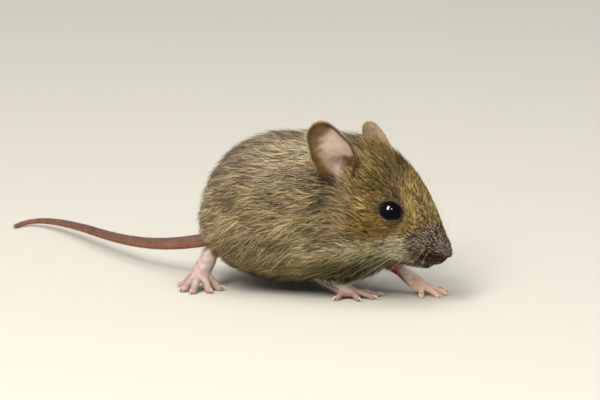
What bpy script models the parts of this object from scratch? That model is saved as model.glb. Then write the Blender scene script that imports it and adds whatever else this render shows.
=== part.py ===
"""A young long-tailed field mouse (wood mouse), life size and still, caught in a slow step.

Frame: metres, +X towards the nose, +Y to the animal's left, +Z up, floor at z = 0.
All sizes below are in millimetres and are scaled to metres when a mesh is made.
The solids give the outline out to the tips of the coat. The body is one long form,
grown ring by ring from the nose to the rump, and parted into nose, head, neck and
trunk by thin cuts. The legs, ears, jaw and tail are grown the same way and are
trimmed back where they meet the body.
"""

import math
from collections import namedtuple

import bmesh
import bpy
import numpy as np
from mathutils import Matrix, Vector

MM = 0.001
JOIN_GAP = 0.12  # the thin cut between neighbouring parts
RING_SIDES = 28  # points round the body
RINGS_PER_SECTION = 2

# The head is turned about the neck, towards the animal's right, and leans a little.
NECK_PIVOT = Vector((5.0, 0.0, 17.0))
HEAD_YAW = math.radians(-9.0)
HEAD_ROLL = math.radians(-8.0)
TURN_START, TURN_END = -2.0, 10.0  # the stretch of body that takes up the turn

# A cross-section of the body: its highest and lowest point in the middle plane, its
# half width, where on its height it is widest, and how full its lower half is, from 2
# for an ellipse upwards.
Section = namedtuple("Section", "name top_x top_z low_x low_z half_width widest belly")
BODY = (
    Section("nose_tip", 31.3, 10.5, 31.1, 8.9, 0.75, 0.50, 2.0),
    Section("nostrils", 30.6, 11.8, 30.0, 8.1, 1.65, 0.50, 2.0),
    Section("nose_back", 29.8, 13.1, 28.6, 8.0, 2.25, 0.50, 2.0),
    Section("upper_lip", 28.5, 15.2, 26.5, 7.8, 3.05, 0.46, 2.0),
    Section("whisker_pad", 26.9, 17.8, 24.0, 7.4, 4.05, 0.42, 2.0),
    Section("face", 24.8, 20.7, 21.2, 6.8, 5.20, 0.44, 2.0),
    Section("eyes", 22.3, 23.3, 18.2, 5.9, 6.50, 0.48, 2.0),
    Section("cheeks", 19.3, 25.7, 16.1, 4.7, 7.70, 0.46, 2.1),
    Section("crown", 15.9, 27.7, 14.3, 3.4, 8.70, 0.44, 2.2),
    Section("nape", 11.2, 28.8, 11.6, 2.6, 9.50, 0.42, 2.3),
    Section("shoulders", 6.0, 28.7, 7.6, 2.0, 10.40, 0.39, 2.4),
    Section("ribs", 1.0, 28.4, 2.4, 1.5, 11.30, 0.37, 2.5),
    Section("waist", -4.0, 28.1, -3.2, 1.6, 11.80, 0.36, 2.5),
    Section("loins", -9.0, 26.7, -8.3, 2.4, 11.50, 0.36, 2.4),
    Section("haunches", -13.0, 24.0, -12.3, 4.2, 10.30, 0.37, 2.3),
    Section("rump", -16.0, 20.3, -15.3, 5.7, 8.00, 0.38, 2.1),
    Section("tail_head", -17.5, 16.2, -17.0, 6.7, 5.20, 0.42, 2.0),
    Section("rump_end", -17.9, 13.0, -17.8, 8.5, 2.30, 0.50, 2.0),
)
NOSE_CUT, HEAD_CUT, NECK_CUT = "nose_back", "crown", "shoulders"

EYE_RADIUS = 2.30
EYE_CENTRE = Vector((21.4, 5.15, 16.2))  # left eye, before the head is turned
SOCKET_GAP = 0.12

# Colours as linear red, green and blue, with the roughness of each finish.
FINISHES = {
    "brown_fur": ((0.20, 0.145, 0.075), 0.85),
    "pale_fur": ((0.36, 0.32, 0.24), 0.85),
    "bare_skin": ((0.55, 0.34, 0.28), 0.55),
    "ear_skin": ((0.36, 0.23, 0.15), 0.60),
    "nose_skin": ((0.22, 0.12, 0.10), 0.45),
    "tail_skin": ((0.30, 0.13, 0.10), 0.60),
    "eye": ((0.004, 0.004, 0.004), 0.05),
    "claw": ((0.62, 0.55, 0.48), 0.35),
}


def clear_scene():
    for found in list(bpy.data.objects):
        bpy.data.objects.remove(found)


def finish(name):
    """The material of one finish, made once."""
    material = bpy.data.materials.get(name)
    if material is None:
        colour, roughness = FINISHES[name]
        material = bpy.data.materials.new(name)
        material.use_nodes = True
        shader = material.node_tree.nodes["Principled BSDF"]
        shader.inputs["Base Color"].default_value = (*colour, 1.0)
        shader.inputs["Roughness"].default_value = roughness
        shader.inputs["Metallic"].default_value = 0.0
    return material


def make_object(name, bm, finish_name):
    """An object from a bmesh in millimetres, which it frees."""
    bmesh.ops.scale(bm, vec=Vector((MM, MM, MM)), verts=bm.verts)
    bmesh.ops.recalc_face_normals(bm, faces=bm.faces)
    mesh = bpy.data.meshes.new(name)
    bm.to_mesh(mesh)
    bm.free()
    mesh.materials.append(finish(finish_name))
    mesh.shade_smooth()
    made = bpy.data.objects.new(name, mesh)
    bpy.context.scene.collection.objects.link(made)
    return made


def ease(share):
    """0 to 1 with a soft start and end."""
    share = min(max(share, 0.0), 1.0)
    return share * share * (3.0 - 2.0 * share)


def head_turn(share):
    """The turn of the head about the neck, or the given share of it."""
    turn = Matrix.Rotation(HEAD_YAW * share, 4, "Z")
    turn @= Matrix.Rotation(HEAD_ROLL * share, 4, "X")
    return Matrix.Translation(NECK_PIVOT) @ turn @ Matrix.Translation(-NECK_PIVOT)


def turned_with_neck(point):
    """A point of the body after the neck has taken its share of the head's turn."""
    share = ease((point.x - TURN_START) / (TURN_END - TURN_START))
    return head_turn(share) @ point


def smooth_rows(rows, steps):
    """Rows of numbers with steps - 1 more set between each pair, on a smooth curve."""
    rows = np.asarray(rows, float)
    ends = np.vstack([2 * rows[0] - rows[1], rows, 2 * rows[-1] - rows[-2]])
    out = []
    for before, here, after, beyond in zip(ends, ends[1:], ends[2:], ends[3:]):
        for step in range(steps):
            t = step / steps
            out.append(
                0.5
                * (
                    2 * here
                    + (after - before) * t
                    + (2 * before - 5 * here + 4 * after - beyond) * t**2
                    + (3 * here - before - 3 * after + beyond) * t**3
                )
            )
    out.append(rows[-1])
    return np.array(out)


def grow(rings):
    """A closed bmesh grown from the first ring of points to the last, by extrusion."""
    bm = bmesh.new()
    end = bm.faces.new([bm.verts.new(point) for point in rings[0]])
    for ring in rings[1:]:
        end = bmesh.ops.extrude_discrete_faces(bm, faces=[end])["faces"][0]
        for vert, point in zip(end.verts, ring):
            vert.co = point
    bmesh.ops.holes_fill(bm, edges=[e for e in bm.edges if e.is_boundary])
    return bm


def bulge(point, axis_point, centre, radius, height):
    """A point moved away from the body's axis where it is near a bulge's centre."""
    near = max(0.0, 1.0 - ((point - centre).length / radius) ** 2)
    away = (point - axis_point).normalized()
    return point + away * (height * near * near)


# Soft forms on both sides of the body: centre on the left, radius, height.
BULGES = (
    (Vector((7.5, 9.5, 9.0)), 8.0, 0.9),  # shoulder
    (Vector((19.0, 6.2, 11.0)), 5.5, 0.7),  # cheek
    (Vector((26.0, 3.6, 10.8)), 3.6, 0.45),  # whisker pad
    (Vector((22.3, 5.6, 20.6)), 3.4, 0.35),  # brow
    (Vector((12.8, 8.4, 21.6)), 4.4, -1.0),  # hollow below the opening of the ear
    (Vector((24.6, 4.7, 16.4)), 3.2, -0.35),  # hollow in front of the eye
)


def section_ring(section):
    """The points round one cross-section, still unturned."""
    low = Vector((section.low_x, 0.0, section.low_z))
    top = Vector((section.top_x, 0.0, section.top_z))
    centre = low.lerp(top, section.widest)
    points = []
    for side in range(RING_SIDES):
        angle = 2 * math.pi * side / RING_SIDES
        across, along = math.cos(angle), math.sin(angle)
        if along > 0:
            reach = top - centre
        else:
            reach = centre - low
            across = math.copysign(abs(across) ** (2 / section.belly), across)
            along = -(abs(along) ** (2 / section.belly))
        point = centre + Vector((0, section.half_width * across, 0)) + reach * along
        for place, radius, height in BULGES:
            mirrored = Vector((place.x, math.copysign(place.y, across), place.z))
            point = bulge(point, centre, mirrored, radius, height)
        points.append(point)
    return points


def body_rings():
    """All rings of the body, nose to rump, and the index of each named section."""
    flat = [[c for p in section_ring(s) for c in p] for s in BODY]
    rings = smooth_rows(flat, RINGS_PER_SECTION).reshape(-1, RING_SIDES, 3)
    rings = [[turned_with_neck(Vector(point)) for point in ring] for ring in rings]
    index = {s.name: i * RINGS_PER_SECTION for i, s in enumerate(BODY)}
    return rings, index


def shifted(ring, towards, distance):
    """A ring moved towards the middle of another ring."""
    middle = sum(ring, Vector()) / len(ring)
    other = sum(towards, Vector()) / len(towards)
    step = (other - middle).normalized() * distance
    return [point + step for point in ring]


def parted(rings, first, last):
    """The rings of one part, drawn back by half a cut where it meets a neighbour."""
    part = [list(ring) for ring in rings[first : last + 1]]
    if first > 0:
        part[0] = shifted(part[0], part[1], JOIN_GAP / 2)
    if last < len(rings) - 1:
        part[-1] = shifted(part[-1], part[-2], JOIN_GAP / 2)
    return part


def build_body():
    rings, index = body_rings()
    last = len(rings) - 1
    spans = (
        ("nose", 0, index[NOSE_CUT], "nose_skin"),
        ("head", index[NOSE_CUT], index[HEAD_CUT], "brown_fur"),
        ("neck", index[HEAD_CUT], index[NECK_CUT], "brown_fur"),
        ("trunk", index[NECK_CUT], last, "brown_fur"),
    )
    return {
        name: make_object(name, grow(parted(rings, first, end)), skin)
        for name, first, end, skin in spans
    }


def inflated_copy(source, by):
    """A hidden cutter: the source's shape pushed out by a distance in millimetres."""
    cutter = bpy.data.objects.new(f"{source.name}_cutter", source.data.copy())
    bpy.context.scene.collection.objects.link(cutter)
    graph = bpy.context.evaluated_depsgraph_get()
    shape = bmesh.new()
    shape.from_object(source, graph)
    shape.normal_update()
    for vert in shape.verts:
        vert.co += vert.normal * (by * MM)
    shape.to_mesh(cutter.data)
    shape.free()
    cutter.hide_render = True
    cutter.display_type = "WIRE"
    return cutter


def trim(target, cutters):
    """Takes each cutter's space away from the target, for good."""
    for cutter in cutters:
        cut = target.modifiers.new("trim", "BOOLEAN")
        cut.operation = "DIFFERENCE"
        cut.object = cutter
    apply_modifiers(target)


def apply_modifiers(target):
    """Replaces the object's mesh by its evaluated one, with only its largest piece."""
    graph = bpy.context.evaluated_depsgraph_get()
    shape = bmesh.new()
    shape.from_object(target, graph)
    keep_largest(shape)
    target.modifiers.clear()
    shape.to_mesh(target.data)
    shape.free()


def keep_largest(bm):
    """Removes the crumbs that a cut leaves: all but the piece with most vertices."""
    unseen = set(bm.verts)
    pieces = []
    while unseen:
        stack = [unseen.pop()]
        piece = set(stack)
        while stack:
            for edge in stack.pop().link_edges:
                for vert in edge.verts:
                    if vert in unseen:
                        unseen.remove(vert)
                        piece.add(vert)
                        stack.append(vert)
        pieces.append(piece)
    pieces.sort(key=len)
    for piece in pieces[:-1]:
        bmesh.ops.delete(bm, geom=list(piece), context="VERTS")


def ball(bm, centre, radii, pitch=0.0, detail=2):
    """An ellipsoid added to a bmesh, turned about the line across the body."""
    matrix = Matrix.Translation(centre) @ Matrix.Rotation(pitch, 4, "Y")
    matrix @= Matrix.Diagonal((*radii, 1.0))
    bmesh.ops.create_icosphere(bm, subdivisions=detail, radius=1.0, matrix=matrix)


def tube_rings(path, radii, sides):
    """Round rings across a path."""
    path = [Vector(p) for p in path]
    rings = []
    for i, (middle, radius) in enumerate(zip(path, radii)):
        before, after = path[max(i - 1, 0)], path[min(i + 1, len(path) - 1)]
        ahead = (after - before).normalized()
        across = ahead.cross(Vector((0, 0, 1))).normalized()
        up = across.cross(ahead).normalized()
        ring = []
        for side in range(sides):
            angle = 2 * math.pi * (side + 0.5) / sides
            spoke = across * math.cos(angle) + up * math.sin(angle)
            ring.append(middle + spoke * radius)
        rings.append(ring)
    return rings


def rounded_end(ring, before):
    """A last small ring past the end of a tube, drawn in towards its middle."""
    middle = sum(ring, Vector()) / len(ring)
    ahead = (middle - sum(before, Vector()) / len(before)).normalized()
    reach = (ring[0] - middle).length
    return [middle + (point - middle) * 0.45 + ahead * (reach * 0.6) for point in ring]


def limb(bm, joints, radii, sides=10, steps=3):
    """A limb added to a bmesh: a smooth tapered tube through its joints, ends rounded."""
    rows = np.column_stack([np.array(joints, float), np.array(radii, float)])
    rows = smooth_rows(rows, steps)
    rings = tube_rings(rows[:, :3], rows[:, 3], sides)
    first, last = rings[0], rings[-1]
    rings.insert(0, rounded_end(first, rings[1]))
    rings.append(rounded_end(last, rings[-2]))
    piece = grow(rings)
    bmesh.ops.recalc_face_normals(piece, faces=piece.faces)
    mesh = bpy.data.meshes.new("limb")
    piece.to_mesh(mesh)
    piece.free()
    bm.from_mesh(mesh)
    bpy.data.meshes.remove(mesh)


def settle(target):
    """Flattens what reaches below the floor, so that the part rests on small flats."""
    for vert in target.data.vertices:
        vert.co.z = max(vert.co.z, 0.0)


def fleshed(name, bm, finish_name, voxel, faces):
    """One closed form from overlapping pieces, as flesh over bones, thinned to faces."""
    made = make_object(name, bm, finish_name)
    merge = made.modifiers.new("merge", "REMESH")
    merge.mode = "VOXEL"
    merge.voxel_size = voxel * MM
    merge.adaptivity = 0.0
    soften = made.modifiers.new("soften", "SMOOTH")
    soften.factor = 0.5
    soften.iterations = 3
    apply_modifiers(made)
    thin = made.modifiers.new("thin", "DECIMATE")
    thin.ratio = faces / (2 * len(made.data.polygons))
    apply_modifiers(made)
    return made


# Ears. A disc is shaped into an egg outline, rolled into a cup and thickened.
EAR_LENGTH = 12.7  # of the whole shell, whose foot is in the head
EAR_HALF_WIDTH = 4.45
EAR_FOOT_WIDTH = 0.74  # width at the foot, as a share of the widest
EAR_SWEEP = 2.2  # how far the tip is swept back
EAR_ROLL_LOW, EAR_ROLL_HIGH = 1.05, 0.50  # half the angle of the roll, foot and tip
EAR_THICKNESS = 0.55
Ear = namedtuple("Ear", "name foot up facing")
EARS = (
    Ear("ear_right", (11.6, -7.0, 18.8), (-0.15, -0.04, 0.99), (0.45, -0.89, 0.0)),
    Ear("ear_left", (11.3, 7.0, 18.5), (-0.15, 0.12, 0.98), (0.45, 0.89, 0.0)),
)


def build_ear(ear):
    up = Vector(ear.up).normalized()
    facing = Vector(ear.facing)
    facing = (facing - up * facing.dot(up)).normalized()
    forward = up.cross(facing)
    forward *= math.copysign(1.0, forward.x)
    bm = bmesh.new()
    bmesh.ops.create_grid(bm, x_segments=10, y_segments=12, size=1.0)
    for vert in bm.verts:
        aside = vert.co.x * math.sqrt(1 - vert.co.y**2 / 2)
        height = vert.co.y * math.sqrt(1 - vert.co.x**2 / 2)
        share = (height + 1) / 2
        spread = EAR_FOOT_WIDTH + (1 - EAR_FOOT_WIDTH) * ease(share / 0.45)
        half_roll = EAR_ROLL_LOW + (EAR_ROLL_HIGH - EAR_ROLL_LOW) * ease(share / 0.75)
        radius = EAR_HALF_WIDTH * spread / half_roll
        turn = aside * half_roll
        vert.co = Vector(ear.foot) + up * (EAR_LENGTH * share)
        vert.co += forward * (radius * math.sin(turn) - EAR_SWEEP * share**2)
        vert.co += facing * (radius * (1 - math.cos(turn)))
    made = make_object(ear.name, bm, "ear_skin")
    made.data.transform(head_turn_in_metres())
    thicken = made.modifiers.new("thicken", "SOLIDIFY")
    thicken.thickness = EAR_THICKNESS * MM
    thicken.offset = 0.0
    thicken.use_even_offset = True
    return made


def head_turn_in_metres():
    scale = Matrix.Diagonal((MM, MM, MM, 1.0))
    return scale @ head_turn(1.0) @ scale.inverted()


def build_eye(name, side):
    bm = bmesh.new()
    bmesh.ops.create_uvsphere(bm, u_segments=14, v_segments=10, radius=EYE_RADIUS)
    centre = Vector((EYE_CENTRE.x, side * EYE_CENTRE.y, EYE_CENTRE.z))
    bmesh.ops.translate(bm, vec=head_turn(1.0) @ centre, verts=bm.verts)
    return make_object(name, bm, "eye")


def build_jaw():
    """The lower jaw, a short scoop under the muzzle, set back behind the nose."""
    bm = bmesh.new()
    joints = [(26.4, 0, 7.6), (23.8, 0, 8.4), (20.8, 0, 9.0), (17.2, 0, 8.8)]
    limb(bm, joints, [1.15, 2.0, 2.6, 2.9])
    made = make_object("lower_jaw", bm, "pale_fur")
    made.data.transform(head_turn_in_metres())
    return made


# Tail: it leaves the rump low, sweeps to the left and sinks to the floor at its tip.
TAIL_PATH = (
    (-16.8, 0.2, 7.4),
    (-21.4, 0.5, 6.4),
    (-26.4, 2.2, 5.3),
    (-31.8, 4.9, 4.4),
    (-37.6, 8.6, 3.7),
    (-44.0, 13.6, 3.1),
    (-50.6, 19.2, 2.6),
    (-56.0, 23.6, 2.1),
    (-60.9, 27.0, 1.6),
    (-64.8, 28.6, 1.1),
    (-67.2, 27.8, 0.7),
    (-68.3, 25.2, 0.42),
)
TAIL_RADII = (1.20, 1.15, 1.08, 1.00, 0.92, 0.84, 0.76, 0.67, 0.58, 0.49, 0.42, 0.36)
TAIL_NAMES = ("tail_root", "tail_middle", "tail_far", "tail_tip")
TAIL_SIDES = 10
TAIL_STEPS = 3


def build_tail(trunk_cutter):
    rows = np.column_stack([np.array(TAIL_PATH), np.array(TAIL_RADII)])
    rows = smooth_rows(rows, TAIL_STEPS)
    rings = tube_rings(rows[:, :3], rows[:, 3], TAIL_SIDES)
    rings.append(rounded_end(rings[-1], rings[-2]))
    last = len(rings) - 1
    cuts = [round(last * share / len(TAIL_NAMES)) for share in range(len(TAIL_NAMES) + 1)]
    parts = []
    for name, first, end in zip(TAIL_NAMES, cuts, cuts[1:]):
        made = make_object(name, grow(parted(rings, first, end)), "tail_skin")
        settle(made)
        parts.append(made)
    trim(parts[0], [trunk_cutter])


# Feet. An arch runs from the ankle or wrist to the knuckles. Each digit runs on from
# there, over a raised middle joint, down to its tip.
Foot = namedtuple("Foot", "name arch arch_radii knuckles tips digit")
TOE_RADIUS = 0.62
FINGER_RADIUS = 0.50
PALM_RADII = (1.7, 1.7, 1.05)
CLAW_LENGTH = 1.25
CLAW_RADIUS = 0.24
CLAW_SIDES = 5
FOOT_VOXEL, FOOT_FACES = 0.22, 500

FEET = (
    Foot(
        "hindfoot_right",
        ((-12.6, -5.8, 9.6), (-13.9, -6.9, 7.2), (-15.0, -8.2, 4.6), (-15.6, -8.9, 3.2)),
        (1.45, 1.35, 1.45, 1.55),
        (-15.6, -8.9, 2.9),
        ((-12.2, -8.4), (-13.1, -10.9), (-15.6, -12.6), (-17.8, -11.7), (-19.4, -8.6)),
        TOE_RADIUS,
    ),
    Foot(
        "hindfoot_left",
        ((-10.6, 8.2, 2.1), (-8.2, 8.5, 1.5), (-4.6, 8.9, 1.25), (-1.4, 9.3, 1.15)),
        (1.75, 1.45, 1.40, 1.60),
        (-0.6, 9.4, 1.1),
        ((2.0, 6.9), (5.0, 8.1), (5.7, 10.0), (5.0, 11.8), (2.4, 13.2)),
        TOE_RADIUS,
    ),
    Foot(
        "forepaw_right",
        ((8.4, -5.6, 2.9), (9.6, -5.3, 2.1), (10.9, -5.0, 1.35)),
        (1.15, 1.25, 1.45),
        (11.3, -4.9, 1.2),
        ((15.9, -2.3), (15.8, -4.7), (13.9, -6.9), (10.2, -7.8)),
        FINGER_RADIUS,
    ),
    Foot(
        "forepaw_left",
        ((18.6, 3.3, 3.5), (20.2, 3.2, 2.5), (21.8, 3.0, 1.5)),
        (1.15, 1.20, 1.40),
        (22.0, 3.0, 1.3),
        ((23.4, 0.0), (26.0, 1.3), (26.7, 3.4), (24.6, 5.4)),
        FINGER_RADIUS,
    ),
)


def digit_paths(foot):
    """For each digit: knuckle, raised joint, end joint and tip."""
    centre = Vector(foot.knuckles)
    for x, y in foot.tips:
        tip = Vector((x, y, foot.digit * 0.80))
        level = Vector((x - centre.x, y - centre.y, 0)).normalized()
        knuckle = centre + level * 0.8
        middle = knuckle.lerp(tip, 0.5)
        middle.z = max(middle.z, foot.digit * 2.0)
        last = knuckle.lerp(tip, 0.82)
        last.z = foot.digit * 1.2
        yield knuckle, middle, last, tip


def build_claws(foot, paw_cutter):
    """Small curved claws, from just inside the digit ends down towards the floor."""
    for i, (_, _, last, tip) in enumerate(digit_paths(foot)):
        ahead = Vector((tip.x - last.x, tip.y - last.y, 0)).normalized() * CLAW_LENGTH
        root = tip + Vector((0, 0, foot.digit * 0.25))
        sag = Vector((0, 0, CLAW_LENGTH * 0.25))
        path = [root, root + ahead * 0.45, root + ahead * 0.8 - sag * 0.4, root + ahead - sag]
        radii = [CLAW_RADIUS * k for k in (1.15, 1.0, 0.65, 0.25)]
        name = f"claw_{foot.name}_{i + 1}"
        claw = make_object(name, grow(tube_rings(path, radii, CLAW_SIDES)), "claw")
        trim(claw, [paw_cutter])
        settle(claw)


def build_foot(foot):
    bm = bmesh.new()
    limb(bm, foot.arch, foot.arch_radii, sides=12)
    ball(bm, Vector(foot.knuckles), PALM_RADII)
    for knuckle, middle, last, tip in digit_paths(foot):
        sizes = [foot.digit * k for k in (1.15, 0.95, 0.88, 0.92)]
        limb(bm, [knuckle, middle, last, tip], sizes, sides=8, steps=2)
        ball(bm, tip - Vector((0, 0, 0.08)), (foot.digit * 1.05,) * 3)
    made = fleshed(foot.name, bm, "bare_skin", FOOT_VOXEL, FOOT_FACES)
    settle(made)
    return made


# The thighs are ovals that swell from the flanks. The other furred stretches of the
# legs, between the body and the feet, are limbs through their joints.
THIGH_CENTRE = Vector((-7.8, 7.2, 10.4))  # left
THIGH_RADII = (7.6, 5.5, 5.6)
THIGH_PITCH = math.radians(30.0)
LEGS = (
    (
        "shank_left",
        ((-4.4, 8.2, 5.0), (-7.6, 8.2, 3.9), (-10.4, 8.1, 2.9)),
        (2.9, 2.4, 1.9),
    ),
    (
        "foreleg_right",
        ((3.6, -6.6, 6.4), (5.8, -6.2, 4.6), (8.4, -5.6, 2.9)),
        (2.4, 1.8, 1.25),
    ),
    (
        "foreleg_left",
        ((11.4, 4.6, 8.6), (14.6, 4.0, 5.8), (18.6, 3.3, 3.6)),
        (2.9, 1.9, 1.30),
    ),
)


def build_thigh(name, side):
    bm = bmesh.new()
    centre = Vector((THIGH_CENTRE.x, side * THIGH_CENTRE.y, THIGH_CENTRE.z))
    ball(bm, centre, THIGH_RADII, THIGH_PITCH, detail=3)
    return make_object(name, bm, "brown_fur")


def build_leg(name, joints, radii):
    bm = bmesh.new()
    limb(bm, joints, radii, sides=14, steps=3)
    made = make_object(name, bm, "brown_fur")
    settle(made)
    return made


def place_origin():
    """Puts the origin under the middle of the whole box, at floor level."""
    shown = [o for o in bpy.data.objects if not o.hide_render]
    graph = bpy.context.evaluated_depsgraph_get()
    corners = [
        Vector(corner) for o in shown for corner in o.evaluated_get(graph).bound_box
    ]
    middle = Vector(
        (
            (min(c.x for c in corners) + max(c.x for c in corners)) / 2,
            (min(c.y for c in corners) + max(c.y for c in corners)) / 2,
            min(c.z for c in corners),
        )
    )
    for mesh in {o.data for o in bpy.data.objects if o.type == "MESH"}:
        mesh.transform(Matrix.Translation(-middle))


def main():
    clear_scene()
    body = build_body()
    cutters = {name: inflated_copy(part, JOIN_GAP) for name, part in body.items()}
    whole = list(cutters.values())

    for name, side in (("eye_right", -1), ("eye_left", 1)):
        eye = build_eye(name, side)
        trim(body["head"], [inflated_copy(eye, SOCKET_GAP)])
    for ear in EARS:
        trim(build_ear(ear), [cutters["head"], cutters["neck"]])
    trim(build_jaw(), [cutters["nose"], cutters["head"], cutters["neck"]])
    build_tail(cutters["trunk"])

    feet = {foot.name: build_foot(foot) for foot in FEET}
    foot_cutters = {name: inflated_copy(made, JOIN_GAP) for name, made in feet.items()}
    for foot in FEET:
        trim(feet[foot.name], [cutters["trunk"], cutters["neck"], cutters["head"]])
        build_claws(foot, foot_cutters[foot.name])

    around = whole + list(foot_cutters.values())
    for name, side in (("thigh_right", -1), ("thigh_left", 1)):
        thigh = build_thigh(name, side)
        trim(thigh, around)
        around.append(inflated_copy(thigh, JOIN_GAP))
    for name, joints, radii in LEGS:
        trim(build_leg(name, joints, radii), around)
    place_origin()


main()
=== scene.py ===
# %% [markdown]
# # A young field mouse, crouched
# This lesson dresses a finished set of solids as a museum model of a young field
# mouse. The solids are the frame. They give every size and every place, so nothing is
# fitted by eye afterwards. One skin is grown over the parts of flesh, and then a coat
# of many thousand tufts is set on it, as a model maker sets hair a lock at a time.

# %% Load the frame
import math
import time
from collections import namedtuple

import bmesh
import bpy
import numpy as np
from mathutils import Matrix, Vector
from mathutils.bvhtree import BVHTree
from mathutils.kdtree import KDTree


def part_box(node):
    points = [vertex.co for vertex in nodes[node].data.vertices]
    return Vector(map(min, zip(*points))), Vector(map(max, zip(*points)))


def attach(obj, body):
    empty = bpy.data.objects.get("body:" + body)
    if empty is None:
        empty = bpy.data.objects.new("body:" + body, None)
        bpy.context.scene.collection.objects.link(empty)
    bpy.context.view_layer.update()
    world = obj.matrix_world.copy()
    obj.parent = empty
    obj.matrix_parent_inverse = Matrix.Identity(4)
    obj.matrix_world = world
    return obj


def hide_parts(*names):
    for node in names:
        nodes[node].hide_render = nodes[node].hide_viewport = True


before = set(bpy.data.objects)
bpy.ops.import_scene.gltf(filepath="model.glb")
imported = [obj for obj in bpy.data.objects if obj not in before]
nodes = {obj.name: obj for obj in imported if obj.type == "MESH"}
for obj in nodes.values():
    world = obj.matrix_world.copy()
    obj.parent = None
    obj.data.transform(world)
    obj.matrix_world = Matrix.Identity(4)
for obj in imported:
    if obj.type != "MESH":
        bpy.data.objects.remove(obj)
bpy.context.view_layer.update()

started = time.time()
print("nodes in the frame:", len(nodes))


def tell(*words):
    """Prints what a step made, and the seconds since the start."""
    print(*words, "|", round(time.time() - started, 1), "s")


def linked(name, data):
    """An object with this data, in the scene."""
    made = bpy.data.objects.new(name, data)
    bpy.context.scene.collection.objects.link(made)
    return made


def mesh_of(name, bm):
    """A mesh with the shape of a bmesh, which is freed."""
    mesh = bpy.data.meshes.new(name)
    bm.to_mesh(mesh)
    bm.free()
    return mesh


def listed(items, key, width=1, kind=float):
    """One property of all of a mesh's points, edges or faces, as rows of numbers."""
    flat = np.empty(len(items) * width, kind)
    items.foreach_get(key, flat)
    return flat.reshape(-1, width) if width > 1 else flat

# %% [markdown]
# The drawing of this mouse is in millimetres from a point on the floor below its
# ribs. The frame has moved it, so the right eye, whose place in the drawing is known,
# tells where that point is now. Every place below is in the drawing's millimetres,
# and `finished_object` carries it over to the frame's metres.

# %% Millimetres of the drawing to metres of the frame
MM = 0.001
RIGHT_EYE_DRAWN = Vector((20.383, -7.713, 16.925))
eye_low, eye_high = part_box("eye_right")
ORIGIN = (eye_low + eye_high) / 2 - RIGHT_EYE_DRAWN * MM
print("drawing's origin in the frame, mm:", [round(c / MM, 2) for c in ORIGIN])


def node_centre(name):
    """The middle of a solid's box, in the drawing's millimetres."""
    low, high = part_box(name)
    return ((low + high) / 2 - ORIGIN) / MM


def finished_object(name, mesh):
    """An object whose place is in its mesh, which came in the drawing's millimetres."""
    mesh.transform(Matrix.Translation(ORIGIN) @ Matrix.Diagonal((MM, MM, MM, 1.0)))
    return linked(name, mesh)


def smoothstep(low, high, values):
    share = np.clip((np.asarray(values, float) - low) / (high - low), 0.0, 1.0)
    return share * share * (3.0 - 2.0 * share)


def unit(rows):
    """Each row as a vector of length one."""
    return rows / np.maximum(np.linalg.norm(rows, axis=-1, keepdims=True), 1e-9)


def linear(red, green, blue):
    """A colour as a painter names it, from 0 to 255, in the linear light of shaders."""
    share = np.array((red, green, blue), float) / 255.0
    return np.where(share <= 0.04045, share / 12.92, ((share + 0.055) / 1.055) ** 2.4)

# %% [markdown]
# The camera comes early, so that each step can be looked at. A long lens far away
# keeps a small animal in natural proportion. It stands a little above the floor and
# looks across the right shoulder.

# %% Camera
CAMERA_AZIMUTH = math.radians(22.0)
CAMERA_HEIGHT = math.radians(12.0)
CAMERA_DISTANCE = 1.0
VIEW_WIDTH = 0.108  # metres across the picture at the mouse
AIM_DRAWN = Vector((-1.2, 3.0, 15.26))
aim = ORIGIN + AIM_DRAWN * MM


def direction(turn, rise):
    """The way out from the mouse, by its turn from the front and its rise."""
    flat = math.cos(rise)
    return Vector((math.sin(turn) * flat, -math.cos(turn) * flat, math.sin(rise)))


def aimed(name, data, way, distance):
    """A camera or a lamp some way off, facing the mouse."""
    made = linked(name, data)
    made.location = aim + way * distance
    made.rotation_euler = (-way).to_track_quat("-Z", "Y").to_euler()
    return made


view = bpy.data.cameras.new("camera")
view.clip_start = 0.01
view.lens = view.sensor_width * CAMERA_DISTANCE / VIEW_WIDTH
camera = aimed("camera", view, direction(CAMERA_AZIMUTH, CAMERA_HEIGHT), CAMERA_DISTANCE)
bpy.context.scene.camera = camera
print("camera", CAMERA_DISTANCE, "m away, lens", round(view.lens), "mm")

# %% [markdown]
# A plain pale floor shows the feet standing and catches a soft shadow. The light is
# that of an overcast day: one large soft panel high on the left, which puts the bright
# spot in the eye, a wide one overhead, and a pale surround that fills the shade.

# %% Floor and light
FLOOR_SIZE = 6.0
SURROUND_COLOUR = (0.80, 0.84, 0.88)
SURROUND_STRENGTH = 0.52
SURROUND_IN_GLOSS = 0.12  # the share of it that a glossy eye mirrors


def fed(node, inputs):
    """A shader node with its inputs set to values, or to what other nodes give."""
    for name, value in inputs.items():
        if isinstance(value, bpy.types.NodeSocket):
            node.id_data.links.new(value, node.inputs[name])
        else:
            node.inputs[name].default_value = value
    return node


def paint(name, colour, roughness):
    """A plain Principled material and its shader."""
    material = bpy.data.materials.new(name)
    material.use_nodes = True
    shader = material.node_tree.nodes["Principled BSDF"]
    return material, fed(shader, {"Base Color": (*colour, 1.0), "Roughness": roughness})


def build_floor():
    bm = bmesh.new()
    bmesh.ops.create_grid(bm, x_segments=2, y_segments=2, size=FLOOR_SIZE / 2)
    floor = linked("floor", mesh_of("floor", bm))
    material, _ = paint("pale_floor", linear(206, 200, 186), 0.8)
    floor.data.materials.append(material)
    floor.visible_glossy = False


def soft_panel(name, aside, above, distance, sides, power, colour):
    """A soft light that faces the mouse, by its angles from the camera's."""
    light = bpy.data.lights.new(name, "AREA")
    light.shape = "RECTANGLE"
    light.size, light.size_y = sides
    light.energy = power
    light.color = colour
    way = direction(CAMERA_AZIMUTH + math.radians(aside), math.radians(above))
    return aimed(name, light, way, distance)


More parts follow.
